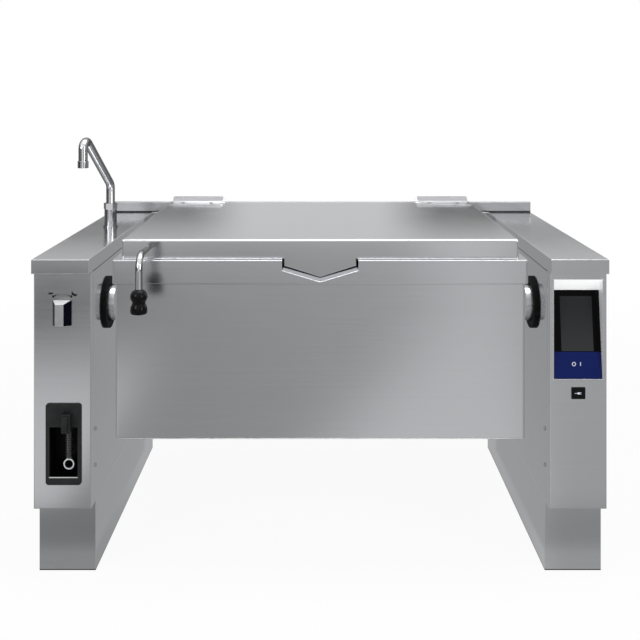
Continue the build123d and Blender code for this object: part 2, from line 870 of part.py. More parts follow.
# Lid hinges: pins held by blocks on the back of the rim, covers fixed on the lid
hinge_middle = (hinge_inner_end + hinge_outer_end) / 2
block_foot = 60.0
block_crown = 9.5
pin_head_radius = 9.0
pin_head_length = 3.0
end_plate_gap = 9.0
end_plate_radius = 11.0
with BuildPart() as hinge_blocks:
    for side in (-1, 1):
        with BuildSketch(across(side * hinge_middle - hinge_block_width / 2, hinge_y, hinge_z)):
            with BuildLine():
                Polyline(
                    (rim_back - hinge_y, rim_top - block_foot - hinge_z),
                    (block_crown, rim_top - block_foot - hinge_z),
                    (block_crown, 0),
                    (-block_crown, 0),
                    (-block_crown, rim_top - hinge_z),
                    (rim_back - hinge_y, rim_top - hinge_z),
                    close=True,
                )
            make_face()
            Circle(block_crown)
            Circle(hinge_pin_radius, mode=Mode.SUBTRACT)
        extrude(amount=hinge_block_width)
save(hinge_blocks.part, "hinge_blocks")

with BuildPart() as hinge_pins:
    for side in (-1, 1):
        rod(
            across(side * (hinge_inner_end + pin_head_length), hinge_y, hinge_z),
            hinge_pin_radius,
            side * (hinge_outer_end - hinge_inner_end - pin_head_length),
        )
        rod(across(side * hinge_inner_end, hinge_y, hinge_z), pin_head_radius, side * pin_head_length)
save(hinge_pins.part, "hinge_pins")

for name, side in SIDES:
    cover_inner = hinge_inner_end + end_plate_gap
    cover_outer = hinge_outer_end
    leaf_end = lid_back - hinge_y - hinge_leaf_length
    with BuildPart() as hinge_cover:
        with BuildSketch(across(side * cover_inner, hinge_y, hinge_z)):
            with BuildLine():
                Polyline(
                    (leaf_end, 0),
                    (leaf_end, hinge_leaf_thickness),
                    (-hinge_barrel_front, hinge_leaf_thickness),
                    (-hinge_barrel_back, hinge_cover_top),
                    (hinge_barrel_back - hinge_bend, hinge_cover_top),
                    (hinge_barrel_back, hinge_cover_top - hinge_bend),
                    (hinge_barrel_back - hinge_plate, hinge_cover_top - hinge_bend - hinge_plate),
                    (hinge_barrel_back - hinge_bend - hinge_plate, hinge_cover_top - hinge_plate),
                    (hinge_plate - hinge_barrel_back, hinge_cover_top - hinge_plate),
                    (lid_back - hinge_y, 0),
                    close=True,
                )
            make_face()
        extrude(amount=side * (cover_outer - cover_inner))
        for plate_x in (cover_inner, cover_outer - hinge_plate):
            with BuildSketch(across(side * plate_x, hinge_y, hinge_z)):
                Circle(end_plate_radius)
                with BuildLine():
                    Polyline(
                        (lid_back - hinge_y, 0),
                        (-hinge_barrel_back, hinge_cover_top - hinge_plate / 2),
                        (hinge_barrel_back - hinge_bend, hinge_cover_top - hinge_plate / 2),
                        (end_plate_radius, 0),
                        close=True,
                    )
                make_face()
            extrude(amount=side * hinge_plate)
        with BuildSketch(across(side * (cover_inner - hinge_plate), hinge_y, hinge_z)):
            Circle(hinge_pin_radius + bearing_clearance)
        extrude(amount=side * (cover_outer - cover_inner + 2 * hinge_plate), mode=Mode.SUBTRACT)
    save(hinge_cover.part, f"{name}_hinge_cover")

screw_y = hinge_y - hinge_leaf_length / 2 - hinge_screw_inset / 2
with BuildPart() as hinge_screws:
    for side in (-1, 1):
        for screw_x in (hinge_inner_end + hinge_screw_inset, hinge_outer_end - hinge_screw_inset):
            with BuildSketch(Plane.XY.offset(lid_top + hinge_leaf_thickness)):
                with Locations((side * screw_x, screw_y)):
                    Circle(hinge_screw_radius)
            extrude(amount=hinge_screw_height, taper=hinge_screw_taper)
save(hinge_screws.part, "hinge_screws")

# Lid handle: bent rod from the lid's front face and a moulded grip on its lower end
rod_y = front_y - handle_reach + grip_radius
rod_z = lid_top - handle_drop_from_lid
grip_top = lid_top - grip_top_drop
grip_socket = 15.0
with BuildPart() as lid_handle_bar:
    with BuildLine() as bar_path:
        FilletPolyline(
            (handle_x, lid_front, rod_z),
            (handle_x, rod_y, rod_z),
            (handle_x, rod_y, grip_top - grip_socket),
            radius=handle_bend_radius,
        )
    with BuildSketch(facing_front(handle_x, lid_front, rod_z)):
        Circle(handle_rod_radius)
    sweep(path=bar_path.wires()[0])
save(lid_handle_bar.part, "lid_handle_bar")

grip_neck_radius = 19.5
grip_crown = 12.0
grip_lobe_end = 33.0
grip_neck_top = 39.0
grip_neck_bottom = 43.0
grip_foot_start = 49.0
grip_blend = 3.0
with BuildPart() as lid_handle_grip:
    with BuildSketch(facing_front(handle_x, rod_y, grip_top)):
        with BuildLine():
            Line((handle_rod_radius, 0), (grip_radius - grip_crown, 0))
            CenterArc((grip_radius - grip_crown, -grip_crown), grip_crown, 0, 90)
            FilletPolyline(
                (grip_radius, -grip_crown),
                (grip_radius, -grip_lobe_end),
                (grip_neck_radius, -grip_neck_top),
                (grip_neck_radius, -grip_neck_bottom),
                (grip_radius, -grip_foot_start),
                (grip_radius, -grip_length),
                (0, -grip_length),
                radius=grip_blend,
            )
            Polyline(
                (0, -grip_length),
                (0, -grip_socket),
                (handle_rod_radius, -grip_socket),
                (handle_rod_radius, 0),
            )
        make_face()
    revolve(axis=Axis((handle_x, rod_y, grip_top), (0, 0, 1)))
save(lid_handle_grip.part, "lid_handle_grip")

# Tap: fixed column on the left worktop, swivelling spout and its aerator
column_top = cabinet_height + tap_column_height
collar_top = column_top + tap_collar_height
with BuildPart() as tap_column:
    with BuildSketch(Plane.XY.offset(cabinet_height)):
        with Locations((tap_x, tap_y)):
            Circle(tap_flange_radius)
    extrude(amount=tap_flange_height)
    with BuildSketch(Plane.XY.offset(cabinet_height - tap_socket_depth)):
        with Locations((tap_x, tap_y)):
            Circle(tap_tube_radius)
    extrude(amount=tap_socket_depth)
    with BuildSketch(Plane.XY.offset(cabinet_height)):
        with Locations((tap_x, tap_y)):
            Circle(tap_column_radius)
    extrude(amount=tap_column_height)
    with BuildSketch(Plane.XY.offset(column_top)):
        with Locations((tap_x, tap_y)):
            RegularPolygon(tap_collar_radius, collar_flat_count)
    extrude(amount=tap_collar_height)
    with BuildSketch(Plane.XY.offset(collar_top)):
        with Locations((tap_x, tap_y)):
            Circle(tap_tube_radius + bearing_clearance)
    extrude(amount=-tap_socket_depth, mode=Mode.SUBTRACT)
save(tap_column.part, "tap_column")

tap_wall = 2.0
spout_bottom = collar_top - tap_socket_depth + hole_clearance
spout_x = tap_x + tap_reach_x
spout_y = tap_y + tap_reach_y
with BuildPart() as tap_spout:
    with BuildLine() as spout_path:
        FilletPolyline(
            (tap_x, tap_y, spout_bottom),
            (tap_x, tap_y, cabinet_height + tap_riser),
            (spout_x, spout_y, cabinet_height + tap_top),
            (spout_x, spout_y, cabinet_height + tap_outlet),
            radius=(tap_elbow, tap_bend),
        )
    with BuildSketch(Plane(origin=(tap_x, tap_y, spout_bottom), x_dir=(1, 0, 0), z_dir=(0, 0, 1))):
        Circle(tap_tube_radius)
        Circle(tap_tube_radius - tap_wall, mode=Mode.SUBTRACT)
    sweep(path=spout_path.wires()[0])
save(tap_spout.part, "tap_spout")

with BuildPart() as tap_aerator:
    with BuildSketch(Plane.XY.offset(cabinet_height + tap_outlet)):
        with Locations((spout_x, spout_y)):
            Circle(aerator_radius)
            Circle(tap_tube_radius - tap_wall, mode=Mode.SUBTRACT)
    extrude(amount=-aerator_length)
    chamfer(tap_aerator.faces().sort_by(Axis.Z)[0].edges(), aerator_wall / 2)
save(tap_aerator.part, "tap_aerator")

# Water side of the left pillar: valve below the tap, and an inlet through the pillar's floor
# whose collar holds it from below
valve_width = 50.0
valve_height = 60.0
stub_radius = 12.0
stub_length = 17.0
connection_flange = 4.0
floor_top = plinth_height + casing_sheet
valve_top = cabinet_height - tap_socket_depth
with BuildPart() as water_valve:
    block(
        (tap_x - valve_width / 2, tap_x + valve_width / 2),
        (tap_y - valve_width / 2, tap_y + valve_width / 2),
        (valve_top - valve_height, valve_top),
    )
    rod(across(tap_x + valve_width / 2, tap_y, valve_top - valve_height / 2), stub_radius, stub_length)
save(water_valve.part, "water_valve")

with BuildPart() as water_inlet:
    with BuildSketch(Plane.XY.offset(floor_top)):
        with Locations((connection_inset - half_width, connection_y)):
            Circle(inlet_flange_radius)
    extrude(amount=connection_flange)
    with BuildSketch(Plane.XY.offset(floor_top)):
        with Locations((connection_inset - half_width, connection_y)):
            Circle(inlet_neck_radius)
    extrude(amount=-casing_sheet)
    with BuildSketch(Plane.XY.offset(plinth_height)):
        with Locations((connection_inset - half_width, connection_y)):
            Circle(inlet_collar_radius)
    extrude(amount=-inlet_collar_thickness)
    with BuildSketch(Plane.XY.offset(plinth_height - inlet_collar_thickness)):
        with Locations((connection_inset - half_width, connection_y)):
            Circle(inlet_radius)
    extrude(amount=-inlet_length)
save(water_inlet.part, "water_inlet")

# Tilt knob with its bezel and the spring return switch behind the fascia
knob_front_y = pillar_front - bezel_thickness - knob_gap
with BuildPart() as knob_bezel:
    with BuildSketch(facing_front(knob_x, pillar_front, knob_height)):
        Circle(knob_width / 2 - knob_gap)
        Circle(spindle_radius + spindle_clearance, mode=Mode.SUBTRACT)
    extrude(amount=bezel_thickness)
save(knob_bezel.part, "knob_bezel")

with BuildPart() as tilt_knob:
    with BuildSketch(facing_front(knob_x, knob_front_y, knob_height)):
        RectangleRounded(knob_width, knob_length, edge_radius)
    with BuildSketch(facing_front(knob_x, knob_front_y - knob_depth, knob_height)):
        RectangleRounded(knob_ridge_width, knob_ridge_length, edge_radius)
    loft()
    rod(facing_front(knob_x, knob_front_y, knob_height), spindle_radius, -spindle_length)
save(tilt_knob.part, "tilt_knob")

switch_size = 44.0
switch_depth = 40.0
with BuildPart() as tilt_switch:
    block(
        (knob_x - switch_size / 2, knob_x + switch_size / 2),
        (pillar_front + casing_sheet, pillar_front + casing_sheet + switch_depth),
        (knob_height - switch_size / 2, knob_height + switch_size / 2),
    )
    with BuildSketch(facing_front(knob_x, pillar_front, knob_height)):
        Circle(spindle_radius + spindle_clearance)
    extrude(amount=-spindle_length, mode=Mode.SUBTRACT)
save(tilt_switch.part, "tilt_switch")

# Spray dock: plate with a pocket in the left fascia, and the hose guide in the pocket
dock_face = pillar_front - dock_proud
with BuildPart() as spray_dock:
    with BuildSketch(facing_front(dock_x, pillar_front, dock_middle)):
        RectangleRounded(dock_width, dock_height, dock_corner)
    extrude(amount=dock_proud)
    fillet(spray_dock.faces().sort_by(Axis.Y)[0].edges(), edge_radius / 2)
    block(
        (dock_x - tub_width / 2, dock_x + tub_width / 2),
        (pillar_front, pillar_front + pocket_depth + pocket_wall),
        (pocket_middle - tub_height / 2, pocket_middle + tub_height / 2),
    )
    block(
        (dock_x - pocket_width / 2, dock_x + pocket_width / 2),
        (dock_face, pillar_front + pocket_depth),
        (pocket_middle - pocket_height / 2, pocket_middle + pocket_height / 2),
        Mode.SUBTRACT,
    )
save(spray_dock.part, "spray_dock")

lip_depth = 12.0
with BuildPart() as dock_lip:
    block(
        (dock_x - pocket_width / 2, dock_x + pocket_width / 2),
        (dock_face, dock_face + lip_depth),
        (pocket_bottom, pocket_bottom + lip_height),
    )
save(dock_lip.part, "dock_lip")

gun_x = dock_x + gun_offset
gun_back = dock_face
grip_y = pillar_front + grip_setback
gun_head_bottom = pocket_bottom + pocket_height - gun_head_lap
grip_bottom = gun_head_bottom - gun_grip_length
guide_z = grip_bottom - guide_radius - knob_gap
guide_face = pillar_front + pocket_depth
with BuildPart() as hose_guide:
    rod(facing_front(gun_x, guide_face, guide_z), guide_radius, pocket_depth - lip_depth, guide_bore)
save(hose_guide.part, "hose_guide")

with BuildPart() as spray_head:
    block(
        (gun_x - gun_width / 2, gun_x + gun_width / 2),
        (gun_back - gun_head_depth, gun_back),
        (gun_head_bottom, gun_head_bottom + gun_head_height),
    )
    fillet(spray_head.edges().filter_by(Axis.Z).sort_by(Axis.Y)[:2], gun_edge)
    block(
        (gun_x - gun_width / 2, gun_x + gun_width / 2),
        (gun_back, grip_y + grip_ring_radius),
        (gun_head_bottom, gun_head_bottom + gun_head_lap - knob_gap),
    )
save(spray_head.part, "spray_head")

ring_count = int(gun_grip_length // grip_ring_pitch)
with BuildPart() as spray_grip:
    with BuildSketch(Plane.XY.offset(grip_bottom)):
        with Locations((gun_x, grip_y)):
            Circle(grip_ring_radius)
    extrude(amount=gun_grip_length)
    for ring in range(1, ring_count):
        with BuildSketch(Plane.XY.offset(grip_bottom + ring * grip_ring_pitch)):
            with Locations((gun_x, grip_y)):
                Circle(grip_ring_radius)
                Circle(grip_ring_radius - grip_ring_groove, mode=Mode.SUBTRACT)
        extrude(amount=2 * grip_ring_groove, mode=Mode.SUBTRACT)
save(spray_grip.part, "spray_grip")

trigger_top = gun_head_bottom + gun_head_height - trigger_thickness
trigger_y = gun_back - gun_head_depth - trigger_gap
with BuildPart() as spray_trigger:
    with BuildSketch(across(gun_x - trigger_width / 2, trigger_y, trigger_top)):
        with BuildLine():
            Polyline(
                (0, 0),
                (-trigger_thickness, 0),
                (-trigger_thickness - trigger_stroke, -trigger_length),
                (-trigger_stroke, -trigger_length),
                close=True,
            )
        make_face()
    extrude(amount=trigger_width)
    fillet(spray_trigger.edges().filter_by(Axis.X), trigger_edge)
save(spray_trigger.part, "spray_trigger")

# Display: sloping tray behind the right fascia, glass and control board
tray_bottom_y = pillar_front + display_rim
glass_top_z = display_bottom + display_height - display_rim - display_ceiling
glass_top_y = pillar_front + display_lean
tray_half = display_width / 2 - display_rim
with BuildPart() as display_frame:
    with BuildSketch(facing_front(display_x, pillar_front, display_middle)):
        RectangleRounded(display_width, display_height, dock_corner)
    extrude(amount=display_rim / 2)
    with BuildSketch(across(display_x - tray_half, 0, 0)):
        with BuildLine():
            Polyline(
                (pillar_front, display_bottom + display_rim),
                (pillar_front, display_bottom + display_height - display_rim),
                (glass_top_y + glass_thickness + display_wall, glass_top_z + glass_thickness),
                (tray_bottom_y + glass_thickness + display_wall, display_bottom + display_rim),
                close=True,
            )
        make_face()
    extrude(amount=2 * tray_half)
    with BuildSketch(across(display_x - tray_half + display_wall, 0, 0)):
        with BuildLine():
            Polyline(
                (pillar_front - display_rim, display_bottom + 2 * display_rim),
                (pillar_front - display_rim, display_bottom + display_height - display_rim - display_wall),
                (pillar_front, display_bottom + display_height - display_rim - display_wall),
                (glass_top_y, glass_top_z),
                (glass_top_y + glass_thickness, glass_top_z),
                (tray_bottom_y + glass_thickness, display_bottom + 2 * display_rim),
                close=True,
            )
        make_face()
    extrude(amount=2 * (tray_half - display_wall), mode=Mode.SUBTRACT)
save(display_frame.part, "display_frame")

with BuildPart() as display_glass:
    with BuildSketch(across(display_x - tray_half + display_wall + glass_gap, 0, 0)):
        with BuildLine():
            Polyline(
                (tray_bottom_y, display_bottom + 2 * display_rim + glass_gap),
                (glass_top_y - glass_gap, glass_top_z - glass_gap),
                (glass_top_y + glass_thickness - glass_gap, glass_top_z - glass_gap),
                (tray_bottom_y + glass_thickness - glass_gap, display_bottom + 2 * display_rim + glass_gap),
                close=True,
            )
        make_face()
    extrude(amount=2 * (tray_half - display_wall - glass_gap))
save(display_glass.part, "display_glass")

board_inset = 30.0
board_face = glass_thickness + display_wall
with BuildPart() as control_board:
    with BuildSketch(across(display_x - tray_half + board_inset / 2, 0, 0)):
        with BuildLine():
            Polyline(
                (tray_bottom_y + board_face, display_bottom + display_rim),
                (glass_top_y + board_face, glass_top_z + glass_thickness),
                (glass_top_y + board_face + board_thickness, glass_top_z + glass_thickness),
                (tray_bottom_y + board_face + board_thickness, display_bottom + display_rim),
                close=True,
            )
        make_face()
    extrude(amount=2 * tray_half - board_inset)
save(control_board.part, "control_board")

# Service socket below the display, with a hinged cover
with BuildPart() as service_socket:
    block(
        (display_x - socket_width / 2, display_x + socket_width / 2),
        (pillar_front, pillar_front + socket_depth),
        (socket_height - socket_width / 2, socket_height + socket_width / 2),
    )
    block(
        (display_x - socket_width / 4, display_x + socket_width / 4),
        (pillar_front, pillar_front + socket_depth / 2),
        (socket_height - socket_slot / 2, socket_height + socket_slot / 2),
        Mode.SUBTRACT,
    )
save(service_socket.part, "service_socket")

with BuildPart() as socket_cover:
    block(
        (display_x - socket_cover_width / 2, display_x + socket_cover_width / 2),
        (pillar_front - socket_cover_gap - socket_cover_thickness, pillar_front - socket_cover_gap),
        (socket_height - socket_cover_height / 2, socket_height + socket_cover_height / 2),
    )
    top_edges = socket_cover.edges().filter_by(Axis.X).sort_by(Axis.Z)[-2:]
    fillet(top_edges, socket_cover_edge)
save(socket_cover.part, "socket_cover")

# Cable gland through the floor of the right pillar
with BuildPart() as cable_gland:
    with BuildSketch(Plane.XY.offset(floor_top)):
        with Locations((half_width - connection_inset, connection_y)):
            Circle(inlet_flange_radius)
            Circle(gland_bore, mode=Mode.SUBTRACT)
    extrude(amount=connection_flange)
    with BuildSketch(Plane.XY.offset(floor_top)):
        with Locations((half_width - connection_inset, connection_y)):
            Circle(gland_radius)
            Circle(gland_bore, mode=Mode.SUBTRACT)
    extrude(amount=-gland_length)
save(cable_gland.part, "cable_gland")
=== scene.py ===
# %% [markdown]
# A tilting bratt pan is a wide lidded pan that hangs on two trunnions between two service pillars
# and tips forward to pour. Almost all of it is stainless steel, so this lesson is about telling
# several steels apart: satin brushed panels, a ground cooking well, polished tube and plain
# mill-finished plate. The solids are the measured frame and stay where they are. Here they get
# their finish, and the small parts get the detail that a plain solid lacks.

# %% Load the measured frame
import json
import math

import bmesh
import bpy
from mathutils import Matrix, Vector


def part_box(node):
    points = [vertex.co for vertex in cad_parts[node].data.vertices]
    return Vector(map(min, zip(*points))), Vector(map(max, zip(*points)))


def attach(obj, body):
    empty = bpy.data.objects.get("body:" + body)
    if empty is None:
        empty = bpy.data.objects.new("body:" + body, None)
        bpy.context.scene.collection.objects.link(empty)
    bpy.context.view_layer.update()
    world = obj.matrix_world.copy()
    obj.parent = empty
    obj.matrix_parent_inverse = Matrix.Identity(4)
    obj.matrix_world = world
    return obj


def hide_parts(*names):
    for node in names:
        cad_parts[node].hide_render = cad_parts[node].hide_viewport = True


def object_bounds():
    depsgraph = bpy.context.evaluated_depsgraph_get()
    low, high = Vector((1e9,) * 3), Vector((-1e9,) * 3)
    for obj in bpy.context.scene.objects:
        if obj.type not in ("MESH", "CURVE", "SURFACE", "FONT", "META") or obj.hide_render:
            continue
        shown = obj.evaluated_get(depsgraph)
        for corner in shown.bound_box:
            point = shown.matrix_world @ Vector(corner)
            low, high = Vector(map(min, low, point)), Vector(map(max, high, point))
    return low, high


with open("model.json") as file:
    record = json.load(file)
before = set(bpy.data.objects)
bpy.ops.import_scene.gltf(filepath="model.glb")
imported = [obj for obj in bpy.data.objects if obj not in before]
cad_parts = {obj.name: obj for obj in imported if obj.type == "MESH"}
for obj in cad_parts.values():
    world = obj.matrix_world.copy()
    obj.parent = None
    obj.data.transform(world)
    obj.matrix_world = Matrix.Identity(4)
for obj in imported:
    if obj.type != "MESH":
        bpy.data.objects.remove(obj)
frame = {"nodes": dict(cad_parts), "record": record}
frame_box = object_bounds()
scene = bpy.context.scene
slot_of = {part["node"]: part["material_slot"] for part in frame["record"]["subparts"]}
frame_size = frame_box[1] - frame_box[0]
print("solids", len(frame["nodes"]), "box", [round(size, 3) for size in frame_size])

# %% [markdown]
# The photograph looks straight ahead, from above the lid, and every upright edge stays upright.
# Such a picture comes from a level camera whose lens is shifted down, and not from a camera that
# looks down, which would make the pillars converge. Distances in pixels belong to a picture 640
# wide.

# %% The camera
PICTURE = 640
SENSOR = 0.036
camera_place = Vector((0.0, -3.0685, 1.3802))
focal_length = 948.4
horizon = 86.0
middle = 320.2

camera_data = bpy.data.cameras.new("photo_camera")
camera_data.sensor_width = SENSOR * 1000
camera_data.lens = focal_length / PICTURE * SENSOR * 1000
camera_data.shift_x = (PICTURE / 2 - middle) / PICTURE
camera_data.shift_y = (horizon - PICTURE / 2) / PICTURE
camera = bpy.data.objects.new("photo_camera", camera_data)
camera.location = camera_place
camera.rotation_euler = (math.radians(90), 0, 0)
scene.collection.objects.link(camera)
scene.camera = camera
print("lens", round(camera_data.lens, 2), "mm, shift", round(camera_data.shift_y, 3))

# %% [markdown]
# Shader maths reads best as arithmetic. A Wire is one output socket, and its operators add Math
# nodes, so that 1 - mask * 0.3 can be written as it stands. A Board is a node tree that grows by
# one method, which sets a node's settings first, because some settings decide which sockets exist.


# %% Wires and boards
def operator(operation, reflected=False):
    """A method that adds a Math node. When reflected, the wire is on the right: 1 - mask."""

    def method(self, other):
        return self.maths(operation, *((other, self) if reflected else (self, other)))

    return method


class Wire:
    """One output socket of a board. Plus, minus, times and the rest add Math nodes."""

    def __init__(self, board, socket):
        self.board = board
        self.socket = socket

    def maths(self, operation, *values):
        return self.board.node("ShaderNodeMath", {"operation": operation}, values)

    def __abs__(self):
        return self.maths("ABSOLUTE", self)

    __add__, __radd__ = operator("ADD"), operator("ADD", reflected=True)
    __sub__, __rsub__ = operator("SUBTRACT"), operator("SUBTRACT", reflected=True)
    __mul__, __rmul__ = operator("MULTIPLY"), operator("MULTIPLY", reflected=True)
    __gt__, __lt__ = operator("GREATER_THAN"), operator("LESS_THAN")


def pick(sockets, key):
    """The socket with that number or name among those that the node's settings leave in use."""
    in_use = [socket for socket in sockets if socket.enabled]
    return in_use[key] if isinstance(key, int) else next(s for s in in_use if s.name == key)


class Board:
    """A node tree that grows by one method."""

    def __init__(self, tree):
        self.tree = tree
        tree.nodes.clear()

    def node(self, kind, settings=None, values=(), output=0):
        made = self.tree.nodes.new(kind)
        for name, value in (settings or {}).items():
            setattr(made, name, value)
        pairs = values.items() if isinstance(values, dict) else enumerate(values)
        for key, value in pairs:
            socket = pick(made.inputs, key)
            if isinstance(value, Wire):
                self.tree.links.new(value.socket, socket)
            else:
                socket.default_value = value
        return Wire(self, pick(made.outputs, output)) if len(made.outputs) else made

    def along(self, vector, axis):
        """One part of a vector."""
        return self.node("ShaderNodeSeparateXYZ", values=[vector], output=axis)

    def vector_maths(self, operation, *values, output=0):
        return self.node("ShaderNodeVectorMath", {"operation": operation}, values, output)

    def fade(self, value, low, high, start=0.0, end=1.0):
        """start below low, end above high and a smooth step between them."""
        values = {"Value": value, "From Min": low, "From Max": high, "To Min": start, "To Max": end}
        return self.node("ShaderNodeMapRange", {"interpolation_type": "SMOOTHSTEP"}, values)

    def spot(self, place, centre, reach):
        """1 at the centre, falling softly to 0 at this reach along X, Y and Z."""
        offset = self.vector_maths("SUBTRACT", place, centre)
        share = self.vector_maths("DIVIDE", offset, reach)
        return self.fade(self.vector_maths("LENGTH", share, output="Value"), 0.15, 1.0, 1.0, 0.0)


print("boards ready")

# %% [markdown]
# The studio is plain: a pale floor, a white surround and three soft lamps. The surround is white
# for the camera and in reflections, and gives only gentle fill light to matt surfaces, so that the
# lamps still model the shapes. The floor fades into that white with distance and keeps the soft
# shadow.

# %% World, floor and lamps
FILL = 0.42

scene.view_settings.view_transform = "Standard"
world = bpy.data.worlds.new("studio")
world.use_nodes = True
scene.world = world
sky = Board(world.node_tree)
seen = sky.node("ShaderNodeLightPath", output="Is Camera Ray")
mirrored = sky.node("ShaderNodeLightPath", output="Is Glossy Ray")
through = sky.node("ShaderNodeLightPath", output="Is Transmission Ray")
shown = seen.maths("MAXIMUM", seen, seen.maths("MAXIMUM", mirrored, through))
light = {"Color": (1, 1, 1, 1), "Strength": FILL + shown * (1 - FILL)}
surround = sky.node("ShaderNodeBackground", values=light)
sky.node("ShaderNodeOutputWorld", values={"Surface": surround})


def flat_sheet(name, corners):
    """A plain four-sided sheet through these corners, for the studio alone."""
    mesh = bpy.data.meshes.new(name)
    mesh.from_pydata(corners, [], [(0, 1, 2, 3)])
    sheet = bpy.data.objects.new(name, mesh)
    scene.collection.objects.link(sheet)
    return sheet


SQUARE = ((-1, -1), (1, -1), (1, 1), (-1, 1))
floor_reach, floor_drop = 12.0, -0.001
shadow_near, shadow_far = 1.4, 4.0
glow_near, glow_far = 0.93, 1.0
floor_corners = [(x * floor_reach, y * floor_reach, floor_drop) for x, y in SQUARE]
floor = flat_sheet("studio_floor", floor_corners)
floor_paint = bpy.data.materials.new("floor_paint")
floor_paint.use_nodes = True
ground = Board(floor_paint.node_tree)
ground_place = ground.node("ShaderNodeTexCoord", output="Object")
distance = ground.vector_maths("LENGTH", ground_place, output="Value")
far_away = ground.fade(distance, shadow_near, shadow_far, glow_near, glow_far)
matt = ground.node("ShaderNodeBsdfDiffuse", values={"Color": (0.94, 0.94, 0.94, 1)})
glow = ground.node("ShaderNodeEmission", values={"Color": (1, 1, 1, 1), "Strength": 1.0})
blend = ground.node("ShaderNodeMixShader", values=[far_away, matt, glow])
ground.node("ShaderNodeOutputMaterial", values={"Surface": blend})
floor.data.materials.append(floor_paint)


def softbox(name, place, aim, size, power):
    """A rectangular area lamp at place, turned to aim."""
    lamp = bpy.data.lights.new(name, "AREA")
    lamp.shape = "RECTANGLE"
    lamp.size, lamp.size_y = size
    lamp.energy = power
    held = bpy.data.objects.new(name, lamp)
    held.location = place
    held.rotation_euler = (Vector(aim) - Vector(place)).to_track_quat("-Z", "Y").to_euler()
    scene.collection.objects.link(held)


softbox("overhead_softbox", (0.2, -0.4, 3.6), (0.1, 0.0, 0.8), (2.6, 1.6), 55)
softbox("front_left_softbox", (-3.0, -3.6, 2.6), (0.0, 0.0, 0.6), (1.8, 1.8), 55)
softbox("front_right_softbox", (3.2, -3.2, 1.8), (0.2, 0.0, 0.5), (1.6, 2.2), 50)
print("lamps", len(bpy.data.lights))

# %% [markdown]
# Bare metal shows what stands around it, and in a wholly white room it looks like paper. A studio
# sets up grey cards to give the panels something to mirror. One covers the floor, for the upright
# panels. One stands behind the part, for the lid and the worktops. Others stand far in front, far
# behind and along both sides, for rounded parts and for views from elsewhere. One more hangs in
# each gap between pan and pillar, which would else swallow all light. Only reflections see these
# cards, and they throw no shadow.

# %% Grey cards for the reflections


def grey_card(name, corners, tone_of):
    """A card that only reflections see. tone_of(board, place) draws its grey."""
    card = flat_sheet(name, corners)
    paint = bpy.data.materials.new(name)
    paint.use_nodes = True
    board = Board(paint.node_tree)
    tone = tone_of(board, board.node("ShaderNodeTexCoord", output="Object"))
    glow = board.node("ShaderNodeEmission", values={"Color": (1, 1, 1, 1), "Strength": tone})
    board.node("ShaderNodeOutputMaterial", values={"Surface": glow})
    card.data.materials.append(paint)
    for ray in ("camera", "diffuse", "shadow", "transmission"):
        setattr(card, "visible_" + ray, False)


def floor_card_tone(board, place):
    """Mid grey, paler to the right and outward, with zones that single parts mirror."""
    mid_grey, pale_grey = 0.36, 0.65
    across = board.along(place, "X")
    depth = board.along(place, "Y")
    near = depth.maths("MAXIMUM", depth + 2.1, -1.8)
    # The cladding mirrors the slanting border between mid grey and pale grey.
    pale = board.fade(across + near * 0.32, 0.02, 0.52, mid_grey, pale_grey)
    pale = pale + board.fade(across, -0.9, 0.2, -0.02, 0.03)
    right_end = board.fade(across + depth * 0.18, 0.48, 0.66) * 0.22
    # The left pillar mirrors a paler end and a darker patch further out.
    left_end = board.fade(across, -0.92, -0.78, 1.0, 0.0) * board.fade(depth, -3.0, -1.9) * 0.36
    left_far = board.spot(place, (-1.75, -4.0, 0), (0.9, 1.3, 1)) * 0.38
    left_edge = board.fade(across, -1.7, -1.5, 0.10, 0.0) * board.fade(depth, -4.95, -4.7, 1.0, 0.0)
    far_end = board.fade(depth, -6.5, -6.0, 0.14, 0.0)
    # A darker strip before the plinths turns pale right at their feet.
    feet = board.fade(depth, -0.92, -0.76)
    tone = (pale - right_end) * (1 - feet * 0.32) + left_end * (1 - feet)
    tone = tone + board.fade(depth, -0.56, -0.45) * 0.12
    # Below and behind the part the grey only grows paler outward.
    behind = board.fade(depth, -0.3, 0.7)
    away = board.fade(board.vector_maths("LENGTH", place, output="Value"), 1.0, 4.0, 0.48, 0.78)
    return (tone - left_far + left_edge + far_end) * (1 - behind) + behind * away


def front_card_tone(board, place):
    """Paler to the left, dark at both ends."""
    across = board.along(place, "X")
    return board.fade(across, -2.0, 2.0, 0.82, 0.66) - board.fade(abs(across), 2.6, 2.75) * 0.6


def rear_card_tone(board, place):
    """Pale low down, a dark stripe that leaves the middle free, and pale again above it."""
    pale_grey, dark_grey = 0.66, 0.15
    across = board.along(place, "X")
    height = board.along(place, "Z")
    stripe = board.fade(height, 1.05, 1.15, pale_grey, dark_grey)
    stripe = stripe + board.fade(height, 1.265, 1.345, 0.0, 0.50)
    stripe = stripe - board.fade(across, 0.3, 0.9) * board.fade(height, 1.13, 1.2, 0.12, 0.0)
    stripe = stripe + board.fade(across, 0.92, 1.02) * board.fade(height, 1.20, 1.28, 0.24, 0.0)
    middle = board.fade(across, 0.28, 0.68, 1.0, 0.0) * board.fade(across, -0.75, -0.35)
    return stripe + middle * (pale_grey - stripe)


def side_card_tone(board, place):
    """Almost even grey for the narrow gap between the pan and a pillar."""
    return board.fade(board.along(place, "Z"), 0.0, gap_top, 0.40, 0.36)


def wall_card_tone(board, place):
    """Paler upward, with a dark flag towards the front that rounded chrome shows as stripes."""
    depth = board.along(place, "Y")
    flag = board.fade(depth, -5.4, -4.9) * board.fade(depth, -1.6, -0.9, 1.0, 0.0)
    return board.fade(board.along(place, "Z"), 0.0, 3.5, 0.46, 0.86) * (1 - flag * 0.95)


